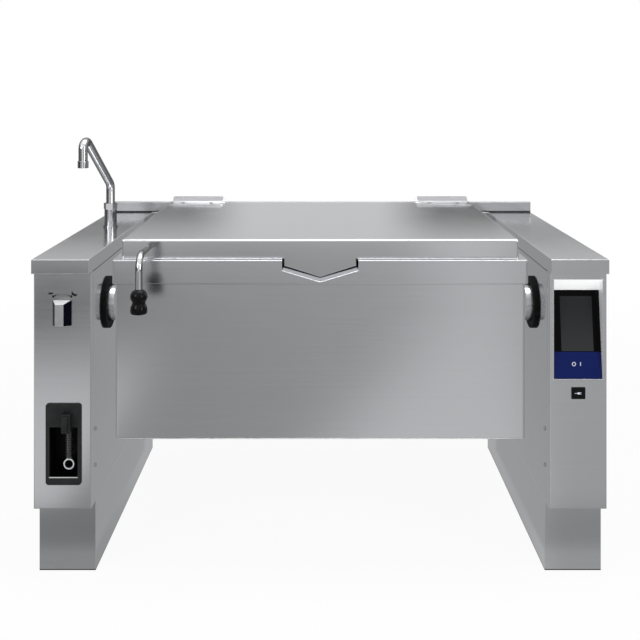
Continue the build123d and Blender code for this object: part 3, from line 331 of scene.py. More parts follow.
def upright(start, end, top):
    """The corners of an upright sheet over the floor line between two places."""
    return [(*start, 0.0), (*end, 0.0), (*end, top), (*start, top)]


left, right, near, far = -6.0, 6.0, -7.0, 7.0
wall_top, rear, rear_top = 4.5, 2.1, 2.4
gap, gap_top = 0.612, 0.9
gap_near, gap_far = frame_box[0].y + 0.07, frame_box[1].y - 0.02
for name, corners, tone_of in (
    ("front_card", upright((left, near), (right, near), wall_top), front_card_tone),
    ("rear_card", upright((left, rear), (right, rear), rear_top), rear_card_tone),
    ("left_wall_card", upright((left, near), (left, far), wall_top), wall_card_tone),
    ("right_wall_card", upright((right, near), (right, far), wall_top), wall_card_tone),
    ("far_rear_card", upright((left, far), (right, far), wall_top), wall_card_tone),
    ("floor_card", [(x * right, y * far, 0.0) for x, y in SQUARE], floor_card_tone),
    ("left_side_card", upright((-gap, gap_near), (-gap, gap_far), gap_top), side_card_tone),
    ("right_side_card", upright((gap, gap_near), (gap, gap_far), gap_top), side_card_tone),
):
    grey_card(name, corners, tone_of)
print("cards ready")

# %% [markdown]
# Every finish starts from the same helpers: the place on the object in metres, noise that can be
# drawn out into grain, a fade between two values, and a mask for edges. The mask compares the real
# normal with one that a Bevel node rounds, and so finds corners. Most finishes lay a painted
# highlight along them, and the motor paint puts its chips there.


# %% Helpers for the finishes
finishes = {}


class Finish(Board):
    """A procedural material for one kind of surface, closed by a Principled shader."""

    def __init__(self, name):
        self.material = bpy.data.materials.new(name)
        self.material.use_nodes = True
        super().__init__(self.material.node_tree)
        finishes[name] = self.material
        self.place = self.node("ShaderNodeTexCoord", output="Object")
        self.outward = self.node("ShaderNodeTexCoord", output="Normal")

    def noise_on(self, vector, scale, detail, roughness=0.5):
        """Noise from 0 to 1 over this vector."""
        values = {"Vector": vector, "Scale": scale, "Detail": detail, "Roughness": roughness}
        return self.node("ShaderNodeTexNoise", values=values, output="Fac")

    def noise(self, per_metre, detail=2.0, roughness=0.5):
        """Noise with so many features a metre, as one number or as one each for X, Y and Z."""
        each_way = per_metre if isinstance(per_metre, tuple) else (per_metre,) * 3
        spread = self.vector_maths("MULTIPLY", self.place, each_way)
        return self.noise_on(spread, 1.0, detail, roughness)

    def mix(self, factor, first, second):
        """The first colour at 0 and the second at 1."""
        pair = [c if isinstance(c, Wire) else (*c, 1.0) for c in (first, second)]
        values = {"Factor": factor, "A": pair[0], "B": pair[1]}
        return self.node("ShaderNodeMix", {"data_type": "RGBA"}, values)

    def rounded(self, radius):
        """A normal that bends over sharp corners as if they had this radius."""
        return self.node("ShaderNodeBevel", {"samples": 6}, {"Radius": radius})

    def edges(self, rounded):
        """1 on corners and 0 on open surface."""
        real = self.node("ShaderNodeNewGeometry", output="True Normal")
        same = self.vector_maths("DOT_PRODUCT", rounded, real, output="Value")
        return self.fade(1 - same, 0.02, 0.25)

    def bump(self, height, strength, depth, normal=None):
        values = {"Height": height, "Strength": strength, "Distance": depth}
        if normal is not None:
            values["Normal"] = normal
        return self.node("ShaderNodeBump", values=values)

    def close(self, colour, roughness, normal=None, metallic=0.0, **others):
        """Ends the tree. Other sockets of the shader are named with _ for a space."""
        values = {"Base Color": colour, "Roughness": roughness, "Metallic": metallic}
        if normal is not None:
            values["Normal"] = normal
        values.update({name.replace("_", " "): value for name, value in others.items()})
        shader = self.node("ShaderNodeBsdfPrincipled", values=values)
        self.node("ShaderNodeOutputMaterial", values={"Surface": shader})
        return self.material


print("finish helpers ready")

# %% [markdown]
# Satin stainless sheet is ground with a belt, which leaves fine parallel scratches. Each scratch
# is far smaller than a pixel, but together they spread the gloss and leave faint longer streaks.
# The grain runs along the sheet, so on walls that face sideways it is turned, and those look
# smoother. Wiping leaves soft clouds, and bent edges get a painted highlight: a pale colour laid on
# the edge mask. Where a panel ends under another one, the joint is a dark line at a known height,
# which the finish of the lower panel draws. That line is also painted shade under the panel above.


# %% Brushed sheet steel
SHEET = (0.640, 0.652, 0.675)
TOP_SHEET = (0.640, 0.650, 0.670)


def brushed_steel(
    name, tone=SHEET, grain_axis=0, rough=0.20, clouds=0.06, cloud_size=0.45, corner=0.003, **joint
):
    """Belt-ground sheet. grain_axis is 0 for X or 1 for Y. joint may give a seam and its gap: a
    dark joint line that is also painted shade.
    """
    long_way, short_way, streak_way = 3.0, 900.0, 120.0
    side_rough = 0.11
    painted_edge_highlight, black = (0.95, 0.95, 0.96), (0.02, 0.02, 0.02)
    steel = Finish(name)
    faces_sideways = abs(steel.along(steel.outward, "X")) > 0.7
    grain_scale = [short_way] * 3
    grain_scale[grain_axis] = long_way
    scale = steel.node(
        "ShaderNodeMix",
        {"data_type": "VECTOR"},
        {"Factor": faces_sideways, "A": tuple(grain_scale), "B": (short_way, long_way, short_way)},
    )
    spread = steel.vector_maths("MULTIPLY", steel.place, scale)
    grain = steel.noise_on(spread, 1.0, 3.0)
    streaks = steel.noise_on(spread, streak_way / short_way, 2.0)
    cloud = steel.noise(1 / cloud_size, 2.0, 0.45)
    smear = steel.noise((9.0, 9.0, 14.0), 4.0, 0.6)
    shade = 1 + (grain - 0.5) * 0.08 + (streaks - 0.5) * 0.03 + (cloud - 0.5) * clouds
    colour = steel.vector_maths("SCALE", tone, shade)
    soft_edge = steel.rounded(corner)
    edge = steel.edges(soft_edge)
    # Painted highlight: edges are mixed towards a near-white colour.
    colour = steel.mix(edge * 0.85, colour, painted_edge_highlight)
    gap = joint.get("gap", 0.004)
    off_joint = abs(steel.along(steel.place, "Z") - joint.get("seam", 0.0))
    # Dark line at the joint: partly a real seam, partly painted shade under the overhanging panel.
    joint_and_shade = steel.fade(off_joint, gap / 2, gap, 1.0, 0.0)
    colour = steel.mix(joint_and_shade * 0.95, colour, black)
    roughness = rough + (grain - 0.5) * 0.06 + (cloud - 0.5) * 0.06
    roughness = roughness + (smear - 0.5) * 0.04 - edge * 0.05
    roughness = roughness - faces_sideways * (rough - side_rough)
    normal = steel.bump(grain, 0.06, 0.0002, soft_edge)
    return steel.close(colour, roughness, normal, metallic=1.0)


worktop_foot, worktop_height = (corner.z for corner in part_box("left_worktop"))
rim_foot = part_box("pan_rim")[0].z
joint_and_shade_drop, joint_and_shade_width = 0.0015, 0.0022
pan_clouds = {"clouds": 0.08, "cloud_size": 0.7}
brushed_steel("panel_steel")
brushed_steel("worktop_steel", TOP_SHEET, grain_axis=1, rough=0.16)
brushed_steel("lid_steel", TOP_SHEET, rough=0.15, cloud_size=0.6)
brushed_steel("pan_steel", **pan_clouds)
brushed_steel("cover_steel", (0.50, 0.505, 0.52), corner=0.0010)
# Casings, cladding and upstand get a dark joint line that is also painted shade: under the worktop,
# under the rim and in the crease at the upstand's foot.
brushed_steel("casing_steel", seam=worktop_foot - joint_and_shade_drop, gap=joint_and_shade_width)
brushed_steel("cladding_steel", seam=rim_foot - joint_and_shade_drop, gap=joint_and_shade_width, **pan_clouds)
brushed_steel("upstand_steel", seam=worktop_height + 0.002)
print("sheet finishes ready")

# %% [markdown]
# The well is ground too, but cooking and scouring leave rings, scuffs and a faint straw tint on
# its floor. Plate inside the machine keeps its dull mill finish, with darker cloudy patches.


# %% Well and mill-finished plate
def well_steel_finish():
    """The scoured cooking surface."""
    well = Finish("well_steel")
    scuffs = well.noise(40.0, 6.0, 0.65)
    wave = {"Vector": well.place, "Scale": 40.0, "Distortion": 6.0, "Detail": 3.0}
    wave["Detail Scale"] = 1.5
    ring_way = {"wave_type": "RINGS", "rings_direction": "Z"}
    rings = well.node("ShaderNodeTexWave", ring_way, wave, "Fac")
    heat = well.fade(well.noise(2.5, 3.0), 0.45, 0.75)
    colour = well.mix(scuffs * 0.5 + rings * 0.15, (0.50, 0.50, 0.51), (0.62, 0.62, 0.63))
    colour = well.mix(heat * 0.25, colour, (0.56, 0.50, 0.40))
    roughness = 0.34 + (scuffs - 0.5) * 0.25 + rings * 0.05
    normal = well.bump(scuffs + rings * 0.3, 0.15, 0.0003, well.rounded(0.003))
    return well.close(colour, roughness, normal, metallic=1.0)


def plate_steel_finish():
    """Hot-rolled plate as it comes from the mill."""
    plate = Finish("plate_steel")
    patches = plate.noise(12.0, 5.0, 0.6)
    pits = plate.noise(700.0)
    colour = plate.mix(patches, (0.30, 0.30, 0.31), (0.48, 0.48, 0.49))
    soft_edge = plate.rounded(0.0015)
    # Painted highlight: edges are mixed towards a paler grey.
    colour = plate.mix(plate.edges(soft_edge) * 0.5, colour, (0.60, 0.60, 0.61))
    roughness = 0.50 + (patches - 0.5) * 0.2
    normal = plate.bump(pits, 0.2, 0.0003, soft_edge)
    return plate.close(colour, roughness, normal, metallic=1.0)


well_steel_finish()
plate_steel_finish()
print("well and plate ready")

# %% [markdown]
# Polished tube mirrors the room, and its sides turn dark where they mirror it at a grazing angle.
# Here that fall-off is painted shade: a Layer Weight darkens the colour towards the outline. A
# crowded room leaves upright dark stripes in chrome too. Here they are painted reflections in the
# colour, set by the direction of the surface. Dried drops and finger marks live in the roughness
# alone.


# %% Polished steel, gear steel and brass
def polished_steel_finish(name, tone, dark, rough, painted_stripes):
    """Polished tube and trim, with painted shade towards its outline and painted dark stripes for a
    room's reflection.
    """
    shine = Finish(name)
    painted_outline_shade = shine.node("ShaderNodeLayerWeight", values={"Blend": 0.35}, output="Facing")
    smears = shine.noise((60.0, 60.0, 25.0), 4.0, 0.6)
    drops = shine.noise(420.0, 1.0)
    turned_away = shine.along(shine.outward, "X")
    # Painted reflection: dark stripes set by the direction of the surface.
    stripe = shine.fade(turned_away, -0.75, -0.25, 0.85, 0.0)
    stripe = stripe.maths("MAXIMUM", stripe, shine.fade(turned_away, 0.45, 0.85, 0.0, 0.6))
    colour = shine.mix(stripe * painted_stripes, tone, dark)
    # Painted shade: the colour darkens towards the outline.
    colour = shine.mix(shine.fade(painted_outline_shade, 0.15, 0.60), colour, dark)
    roughness = rough + smears * 0.06 + shine.fade(drops, 0.66, 0.72) * 0.12
    normal = shine.bump(smears, 0.03, 0.0005, shine.rounded(0.0008))
    return shine.close(colour, roughness, normal, metallic=1.0)


def gear_steel_finish():
    """Hobbed gear steel with a film of oil in the tooth gaps."""
    gear = Finish("gear_steel")
    cuts = gear.noise((900.0, 60.0, 60.0), 3.0)
    soft_edge = gear.rounded(0.0008)
    edge = gear.edges(soft_edge)
    colour = gear.mix(cuts, (0.30, 0.29, 0.28), (0.46, 0.46, 0.47))
    # Painted highlight: edges are mixed towards a pale grey.
    colour = gear.mix(edge * 0.8, colour, (0.68, 0.68, 0.70))
    roughness = 0.30 + cuts * 0.15 - edge * 0.08
    normal = gear.bump(cuts, 0.1, 0.0002, soft_edge)
    return gear.close(colour, roughness, normal, metallic=1.0)


def brass_finish():
    """Turned brass, a little dulled between the tool marks."""
    brass = Finish("turned_brass")
    marks = brass.noise((30.0, 30.0, 1200.0), 2.0)
    dull = brass.noise(45.0, 4.0)
    colour = brass.mix(dull, (0.50, 0.34, 0.13), (0.72, 0.55, 0.28))
    roughness = 0.24 + marks * 0.12 + dull * 0.1
    normal = brass.bump(marks, 0.15, 0.0002, brass.rounded(0.0008))
    return brass.close(colour, roughness, normal, metallic=1.0)



for settings in (
    ("polished_steel", (0.74, 0.745, 0.76), (0.02, 0.02, 0.023), 0.07, 1.0),
    ("satin_tube", (0.74, 0.745, 0.76), (0.24, 0.24, 0.25), 0.18, 0.0),
    ("wall_screw_steel", (0.62, 0.625, 0.64), (0.2, 0.2, 0.21), 0.14, 0.0),
    ("cover_screw_steel", (0.16, 0.165, 0.18), (0.02, 0.02, 0.02), 0.2, 0.0),
):
    polished_steel_finish(*settings)
gear_steel_finish()
brass_finish()
def guide_steel_finish():
    """A polished sleeve with a black liner: its rim is bright and its inner face dark."""
    trim = Finish("guide_steel")
    low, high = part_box("hose_guide")
    liner, rim = (high.x - low.x) / 2 - 0.0042, (high.x - low.x) / 2 - 0.0032
    fine = trim.noise(80.0, 4.0, 0.6)
    offset = trim.vector_maths("SUBTRACT", trim.place, tuple((low + high) / 2))
    flat = trim.vector_maths("MULTIPLY", offset, (1.0, 0.0, 1.0))
    radius = trim.vector_maths("LENGTH", flat, output="Value")
    black = trim.fade(radius, liner, rim, 1.0, 0.0)
    colour = trim.mix(black, (0.86, 0.865, 0.88), (0.006, 0.008, 0.009))
    roughness = 0.14 + fine * 0.08 + black * 0.3
    normal = trim.bump(fine, 0.03, 0.0005, trim.rounded(0.0025))
    return trim.close(colour, roughness, normal, metallic=1 - black, Specular_IOR_Level=0.2)


def recess_steel_finish():
    """The display's frame: satin outside. Its recess has painted light: a pale, faintly glowing
    slope and pale walls, and its edges a painted highlight.
    """
    steel = Finish("frame_steel")
    fine = steel.noise((3.0, 900.0, 900.0), 3.0)
    painted_slope_light = steel.fade(steel.along(steel.outward, "Z"), -0.35, -0.15, 1.0, 0.0)
    wall = steel.fade(abs(steel.along(steel.outward, "X")), 0.6, 0.8)
    soft_edge = steel.rounded(0.0016)
    rim = steel.edges(soft_edge)
    # Painted light: the slope, and the walls at three quarters, are painted pale and less metallic.
    pale = painted_slope_light.maths("MAXIMUM", painted_slope_light, wall * 0.75)
    colour = steel.mix(pale, (0.66, 0.67, 0.69), (0.98, 0.98, 0.985))
    # Painted highlight on the edges.
    colour = steel.mix(rim * 0.85, colour, (0.96, 0.96, 0.97))
    roughness = 0.20 + fine * 0.06 + pale * 0.15
    normal = steel.bump(fine, 0.04, 0.0002, soft_edge)
    # The slope glows though it is no lamp: painted light.
    painted_glow_colour = steel.mix(painted_slope_light, (0, 0, 0), (1, 1, 1))
    painted_glow = {"Emission_Color": painted_glow_colour, "Emission_Strength": 0.22}
    return steel.close(colour, roughness, normal, metallic=1 - pale * 0.9, **painted_glow)


guide_steel_finish()
recess_steel_finish()
print("bright metals ready")

# %% [markdown]
# Black parts differ in how they meet the light: moulded plastic has a fine spark-eroded grain and
# a soft gloss, the handle's grip is smooth and shinier, and rubber is dull with a dusty bloom.


# %% Plastics and rubber
def moulded_plastic(name, tone, rough, grain_size, relief, gloss, highlight_and_smudge, painted_shade_from, corner):
    """Injection-moulded plastic, painted paler on its corners as a painted highlight, paler in
    smudges, and painted near black as shade in a pocket beyond a given depth along Y.
    """
    plastic = Finish(name)
    grain = plastic.noise(1 / grain_size)
    smudge = plastic.noise(35.0, 3.0)
    soft_edge = plastic.rounded(corner)
    edge = plastic.edges(soft_edge)
    # Painted highlight: corners are mixed towards a pale tone, which smudges also lean towards.
    colour = plastic.mix(edge * 0.6 + smudge * 0.15, tone, (highlight_and_smudge, highlight_and_smudge, highlight_and_smudge))
    # Painted shade: beyond a given depth along Y the pocket is painted nearly black.
    if painted_shade_from is not None:
        inside = plastic.fade(plastic.along(plastic.place, "Y"), painted_shade_from, painted_shade_from + 0.012)
        colour = plastic.mix(inside, colour, (0.0015, 0.0015, 0.0018))
    roughness = rough + (smudge - 0.5) * 0.16 + (grain - 0.5) * 0.06
    normal = plastic.bump(grain, relief, 0.0002, soft_edge)
    return plastic.close(colour, roughness, normal, Specular_IOR_Level=gloss)


def rubber_finish():
    """Black seal rubber with a pale bloom."""
    rubber = Finish("seal_rubber")
    bloom = rubber.noise(50.0, 5.0, 0.6)
    pores = rubber.noise(1500.0, 1.0)
    dusty = rubber.fade(bloom, 0.4, 0.8)
    colour = rubber.mix(dusty, (0.004, 0.004, 0.0045), (0.016, 0.016, 0.016))
    normal = rubber.bump(pores, 0.15, 0.0002, rubber.rounded(0.001))
    return rubber.close(colour, 0.62 + bloom * 0.2, normal, Specular_IOR_Level=0.15)


def print_finish(name, tone):
    """Screen-printed ink, a little uneven and dull."""
    ink = Finish(name)
    worn = ink.noise(900.0)
    colour = ink.mix(worn * 0.35, tone, tuple(part * 0.75 + 0.01 for part in tone))
    return ink.close(colour, 0.55 + worn * 0.15, Specular_IOR_Level=0.1)


# The dock's pocket gets painted shade from just behind its front.
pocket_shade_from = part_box("spray_dock")[0].y + 0.003
for settings in (
    ("black_plastic", (0.003, 0.003, 0.0035), 0.42, 0.0007, 0.25, 0.10, 0.02, None, 0.0008),
    ("dock_plastic", (0.011, 0.012, 0.013), 0.48, 0.0009, 0.30, 0.12, 0.12, pocket_shade_from, 0.0022),
    ("grip_plastic", (0.002, 0.002, 0.0022), 0.24, 0.0020, 0.05, 0.14, 0.006, None, 0.0008),
    ("spray_plastic", (0.006, 0.006, 0.007), 0.36, 0.0009, 0.20, 0.25, 0.10, None, 0.0016),
    ("ribbed_plastic", (0.012, 0.012, 0.013), 0.26, 0.0012, 0.10, 0.7, 0.12, None, 0.0008),
):
    moulded_plastic(*settings)
dark_print = print_finish("dark_print", (0.004, 0.004, 0.005))
pale_print = print_finish("pale_print", (0.70, 0.74, 0.84))
rubber_finish()
print("black finishes ready")

# %% [markdown]
# Inside the pillars and under the pan sit parts that show only from behind or when the pan tips: a
# painted gear motor, a green circuit board, mica on the heaters and pressed mineral wool.


# %% Inner parts
def motor_paint_finish():
    """Stoved grey paint with orange peel and chipped corners."""
    paint = Finish("motor_paint")
    peel = paint.noise(350.0, 1.0)
    dust = paint.noise(25.0, 4.0)
    soft_edge = paint.rounded(0.0012)
    chipped = paint.edges(soft_edge) * paint.fade(dust, 0.5, 0.62)
    colour = paint.mix(dust * 0.4, (0.17, 0.19, 0.22), (0.26, 0.27, 0.29))
    colour = paint.mix(chipped, colour, (0.45, 0.45, 0.46))
    normal = paint.bump(peel, 0.15, 0.0003, soft_edge)
    return paint.close(colour, 0.38 + dust * 0.2, normal)


def circuit_board_finish():
    """Green laminate with copper tracks showing through its lacquer."""
    board = Finish("circuit_board")
    bricks = {"Vector": board.place, "Scale": 60.0, "Mortar Size": 0.06}
    bricks.update({"Color1": (1, 1, 1, 1), "Color2": (0, 0, 0, 1), "Mortar": (0.5, 0.5, 0.5, 1)})
    tracks = board.node("ShaderNodeTexBrick", {"offset": 0.37}, bricks, "Fac")
    colour = board.mix(tracks, (0.02, 0.16, 0.06), (0.06, 0.30, 0.12))
    return board.close(colour, 0.30 + tracks * 0.1)


def layered_finish(name, noise, tones, rough, more_rough, relief):
    """One noise between two tones that also lifts the surface, for mica and mineral wool."""
    stuff = Finish(name)
    layers = stuff.noise(*noise)
    roughness = rough + layers * more_rough if more_rough else rough
    normal = stuff.bump(layers, *relief)
    return stuff.close(stuff.mix(layers, *tones), roughness, normal)


motor_paint_finish()
circuit_board_finish()
mica_tones = ((0.30, 0.24, 0.16), (0.55, 0.49, 0.38))
wool_tones = ((0.42, 0.38, 0.24), (0.72, 0.68, 0.52))
mica_relief, wool_relief = (0.3, 0.0005), (0.8, 0.002)
mica_noise, wool_noise = ((30.0, 30.0, 200.0), 5.0, 0.65), ((120.0, 500.0, 300.0), 6.0, 0.7)
layered_finish("element_mica", mica_noise, mica_tones, 0.45, 0.2, mica_relief)
layered_finish("mineral_wool", wool_noise, wool_tones, 0.95, 0.0, wool_relief)
print("inner finishes ready")

# %% [markdown]
# The knob is a bar with a satin silver front and ends between two dark flanks, so its finish is
# chosen by the way that each face looks. The ends, facing up and down, are painted much paler and
# less metallic as a painted highlight. The normal is in the object's own space, and the choice
# doesn't move with the viewer.


# %% Knob
def knob_finish():
    """Silver front and ends, with a painted highlight on the ends, dark blue-black flanks."""
    knob = Finish("knob_silver")
    flank = knob.fade(abs(knob.along(knob.outward, "X")), 0.45, 0.55)
    sparkle = knob.noise(1800.0, 1.0)
    wiped = knob.noise(60.0, 3.0)
    silver = knob.mix(wiped, (0.46, 0.47, 0.49), (0.56, 0.57, 0.59))
    # Painted highlight: faces turned up or down are painted much paler and less metallic.
    ends = knob.fade(abs(knob.along(knob.outward, "Z")), 0.30, 0.45)
    silver = knob.mix(ends, silver, (0.90, 0.90, 0.92))
    colour = knob.mix(flank, silver, (0.0002, 0.0003, 0.0050))
    roughness = 0.30 + sparkle * 0.08 + (wiped - 0.5) * 0.12
    normal = knob.bump(sparkle, 0.06, 0.0002, knob.rounded(0.0012))
    metal = (1 - flank) * (0.9 - ends * 0.6)
    return knob.close(colour, roughness, normal, metal, Specular_IOR_Level=0.05)


knob_finish()
print("knob finish ready")

# %% [markdown]
# The display is a sheet of black cover glass that leans back in its recess. Behind it lies a
# screen that is switched off and so reads as a paler grey field, and the lowest part is printed
# blue around the on and off marks. The zones are cut by height and width on the glass itself.

# %% Cover glass
glass_low, glass_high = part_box("display_glass")
GLASS_THICKNESS = 0.004
screen_left = 0.6774
screen_right = 0.7674
screen_top_share = 0.93
band_share = 0.30
glass_height = glass_high.z - glass_low.z
band_top = glass_low.z + glass_height * band_share
screen_top = glass_low.z + glass_height * screen_top_share


def between(finish, value, low, high, soft):
    """1 between low and high, with soft borders."""
    above = finish.fade(value, low - soft, low + soft)
    return above * finish.fade(value, high - soft, high + soft, 1.0, 0.0)


def cover_glass_finish():
    """Printed cover glass with the dark screen field and the blue band."""
    glass = Finish("cover_glass")
    border = 0.0004
    across = glass.along(glass.place, "X")
    height = glass.along(glass.place, "Z")
    field = between(glass, across, screen_left, screen_right, border)
    field = field * between(glass, height, band_top + 0.002, screen_top, border)
    band = glass.fade(height, band_top - border, band_top + border, 1.0, 0.0)
    dimming = glass.fade(height, band_top, screen_top)
    screen = glass.mix(dimming, (0.032, 0.033, 0.034), (0.020, 0.021, 0.022))
    colour = glass.mix(field, (0.0006, 0.0006, 0.0008), screen)
    colour = glass.mix(band, colour, (0.0060, 0.0125, 0.088))
    smudges = glass.noise((70.0, 70.0, 30.0), 4.0, 0.6)
    roughness = 0.06 + glass.fade(smudges, 0.5, 0.8) * 0.14
    return glass.close(colour, roughness, Specular_IOR_Level=0.08)


cover_glass_finish()
print("glass from", round(glass_low.z, 3), "to", round(glass_high.z, 3))

# %% [markdown]
# Each solid now gets its finish. Most follow from the material slot that the record names, which is
# often the finish's own name too. A few panels are told apart because their grain runs another way,
# because they carry a joint line that is also painted shade or because they are wiped more often.

# %% Dress the solids
finish_of_slot = {
    "brushed_steel": "panel_steel",
    "bright_steel": "polished_steel",
    "black_rubber": "seal_rubber",
    "silver_knob": "knob_silver",
    "display_glass": "cover_glass",
    "brass": "turned_brass",
}
nodes_of_finish = {
    "worktop_steel": ("left_worktop", "right_worktop"),
    "casing_steel": ("left_casing", "right_casing"),
    "cover_steel": ("left_hinge_cover", "right_hinge_cover"),
    "satin_tube": ("left_trunnion", "right_trunnion"),
    "spray_plastic": ("spray_head", "spray_trigger"),
    "dock_plastic": ("spray_dock",),
    "grip_plastic": ("lid_handle_grip",),
    "lid_steel": ("lid_shell",),
    "upstand_steel": ("rear_upstand",),
    "frame_steel": ("display_frame",),
    "guide_steel": ("hose_guide",),
    "pan_steel": ("pan_rim",),
    "cladding_steel": ("pan_cladding",),
}
special_finish = {name: finish for finish, names in nodes_of_finish.items() for name in names}
for name, solid in frame["nodes"].items():
    slot = slot_of[name]
    finish = special_finish.get(name, finish_of_slot.get(slot, slot))
    solid.data.materials.clear()
    solid.data.materials.append(finishes[finish])
print("dressed", len(frame["nodes"]), "solids")

# %% [markdown]
# New pieces come next. A piece is a mesh at its final place, riding on the body that carries it.


# %% Pieces
def add_piece(name, mesh, body, replaced=()):
    """Puts a finished mesh into the scene on its body."""
    made = bpy.data.objects.new(name, mesh)
    scene.collection.objects.link(made)
    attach(made, body)
    if replaced:
        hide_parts(*replaced)
    print(name, "faces", len(mesh.polygons), "on", body)


def faced_outward(mesh):
    """Turns every face of a closed mesh outward."""
    shape = bmesh.new()
    shape.from_mesh(mesh)
    bmesh.ops.recalc_face_normals(shape, faces=shape.faces)
    shape.to_mesh(mesh)
    shape.free()
    return mesh


def listed(name, corners, faces, finish):
    """A mesh from its corners and faces."""
    mesh = bpy.data.meshes.new(name)
    mesh.from_pydata(corners, [], faces)
    mesh.materials.append(finish)
    return faced_outward(mesh)


def printed(name, outlines, depth_at, thickness, finish):
    """Flat marks as thin closed plates. Outlines lie in XZ and depth_at(z) gives their Y."""
    corners, faces = [], []
    for outline in outlines:
        first, count = len(corners), len(outline)
        for lift in (thickness, 0.0):
            corners += [(x, depth_at(z) - lift, z) for x, z in outline]
        faces.append([first + step for step in range(count)])
        faces.append([first + count + step for step in reversed(range(count))])
        back = first + count
        for step in range(count):
            after = (step + 1) % count
            faces.append([first + after, first + step, back + step, back + after])
    return listed(name, corners, faces, finish)


def ring_cells(centre, reach, stroke, count):
    """A flat ring cut into four-sided cells, with reach as its half width and half height."""

    def at(turn, inset):
        x, z = (reach[0] - inset) * math.cos(turn), (reach[1] - inset) * math.sin(turn)
        return (centre[0] + x, centre[1] + z)

    cells = []
    for step in range(count):
        start, end = (math.tau * (step + part) / count for part in (0, 1))
        cells.append([at(start, 0), at(end, 0), at(end, stroke), at(start, stroke)])
    return cells


def bar(centre, size):
    """A rectangle around a centre."""
    return [(centre[0] + x * size[0] / 2, centre[1] + z * size[1] / 2) for x, z in SQUARE]


print("piece helpers ready")

# %% [markdown]
# A Geometry Nodes recipe is made once and used wherever its thing repeats. The recipe's inputs are
# its sizes, and the answer is turned into a plain mesh before it becomes a piece.


# %% Recipes
class Recipe(Board):
    """A Geometry Nodes tree with named inputs."""

    def __init__(self, name, inputs):
        tree = bpy.data.node_groups.new(name, "GeometryNodeTree")
        super().__init__(tree)
        for label, kind in inputs.items():
            tree.interface.new_socket(label, in_out="INPUT", socket_type=kind)
        tree.interface.new_socket("Made", in_out="OUTPUT", socket_type="NodeSocketGeometry")

    def given(self, label):
        return self.node("NodeGroupInput", output=label)

    def shape(self, kind, **values):
        """A Geometry node by the last part of its kind. Sockets are named with _ for a space."""
        values = {name.replace("_", " "): value for name, value in values.items()}
        return self.node("GeometryNode" + kind, values=values)

    def close(self, copies):
        """Realizes the copies, gives them their finish and ends the tree."""
        real = self.shape("RealizeInstances", Geometry=copies)
        dressed = self.shape("SetMaterial", Geometry=real, Material=self.given("Finish"))
        self.node("NodeGroupOutput", values=[dressed])
        return self

    def make(self, name, values, start=None):
        """The plain mesh that the recipe gives for these values."""
        holder = bpy.data.objects.new(name, start or bpy.data.meshes.new(name + "_start"))
        scene.collection.objects.link(holder)
        modifier = holder.modifiers.new("recipe", "NODES")
        modifier.node_group = self.tree
        for item in self.tree.interface.items_tree:
            if item.name in values:
                modifier[item.identifier] = values[item.name]
        holder.update_tag()
        graph = bpy.context.evaluated_depsgraph_get()
        mesh = bpy.data.meshes.new_from_object(holder.evaluated_get(graph))
        mesh.name = name
        bpy.data.objects.remove(holder)
        return faced_outward(mesh)


FLOAT, COUNT, PLACE = "NodeSocketFloat", "NodeSocketInt", "NodeSocketVector"
SHAPE, PAINT = "NodeSocketGeometry", "NodeSocketMaterial"
print("recipes ready")

# %% [markdown]
# Screw heads sit in several places, always the same way: a low domed head with a hexagon socket.
# The recipe takes points that carry the direction in which each head looks, builds one head and
# copies it to them. A boolean cuts the socket once, before the copies are made.


# %% Screw heads
def screw_recipe():
    sizes = {"Points": SHAPE, "Radius": FLOAT, "Height": FLOAT, "Socket": FLOAT}
    recipe = Recipe("screw_heads", {**sizes, "Finish": PAINT})
    radius = recipe.given("Radius")
    height = recipe.given("Height")
    crown, deep_enough = radius * 0.72, height * 1.2
    socket = recipe.given("Socket")
    cone = {"Vertices": 32, "Radius_Top": crown, "Radius_Bottom": radius, "Depth": height}
    head = recipe.shape("MeshCone", **cone)
    key = recipe.shape("MeshCylinder", Vertices=6, Radius=socket, Depth=deep_enough)
    lift = recipe.node("ShaderNodeCombineXYZ", values={"Z": height})
    key = recipe.shape("Transform", Geometry=key, Translation=lift)
    head = recipe.node("GeometryNodeMeshBoolean", {"operation": "DIFFERENCE"}, [head, key])
    kept = "GeometryNodeInputNamedAttribute"
    outward = recipe.node(kept, {"data_type": "FLOAT_VECTOR"}, {"Name": "outward"})
    turn = recipe.node("FunctionNodeAlignRotationToVector", {"axis": "Z"}, {"Vector": outward})
    copies = {"Points": recipe.given("Points"), "Instance": head, "Rotation": turn}
    return recipe.close(recipe.shape("InstanceOnPoints", **copies))


def screw_points(name, places):
    """A mesh of loose points, each with the direction in which its screw looks."""
    mesh = bpy.data.meshes.new(name)
    mesh.from_pydata([place for place, _ in places], [], [])
    outward = mesh.attributes.new("outward", "FLOAT_VECTOR", "POINT")
    for entry, (_, direction) in zip(outward.data, places):
        entry.vector = direction
    return mesh


screw_heads = screw_recipe()
wall, wall_depth, wall_heights = 0.640, -0.3675, (0.302, 0.405)
cover_top, cover_depth, cover_places = 0.949, 0.428, (-0.505, -0.402, 0.402, 0.505)
head_height, socket_share = 0.0025, 0.45
wall_screws = [
    ((side * wall, wall_depth, z), (-side, 0, 0)) for side in (-1, 1) for z in wall_heights
]
cover_screws = [((x, cover_depth, cover_top), (0, 0, 1)) for x in cover_places]
for name, places, body, radius, finish in (
    ("casing_screws", wall_screws, "cabinet", 0.0060, "wall_screw_steel"),
    ("hinge_screws", cover_screws, "lid", 0.0065, "cover_screw_steel"),
):
    sizes = {"Radius": radius, "Height": head_height, "Socket": radius * socket_share}
    sizes["Finish"] = finishes[finish]
    heads = screw_heads.make(name + "_visual", sizes, screw_points(name + "_points", places))
    add_piece(name + "_visual", heads, body, [name])

# %% [markdown]
# The spray's grip is moulded in soft ribs. A line is cut into many short lengths, a round profile
# runs along it, and a wave of the height squeezes the profile between the ribs.


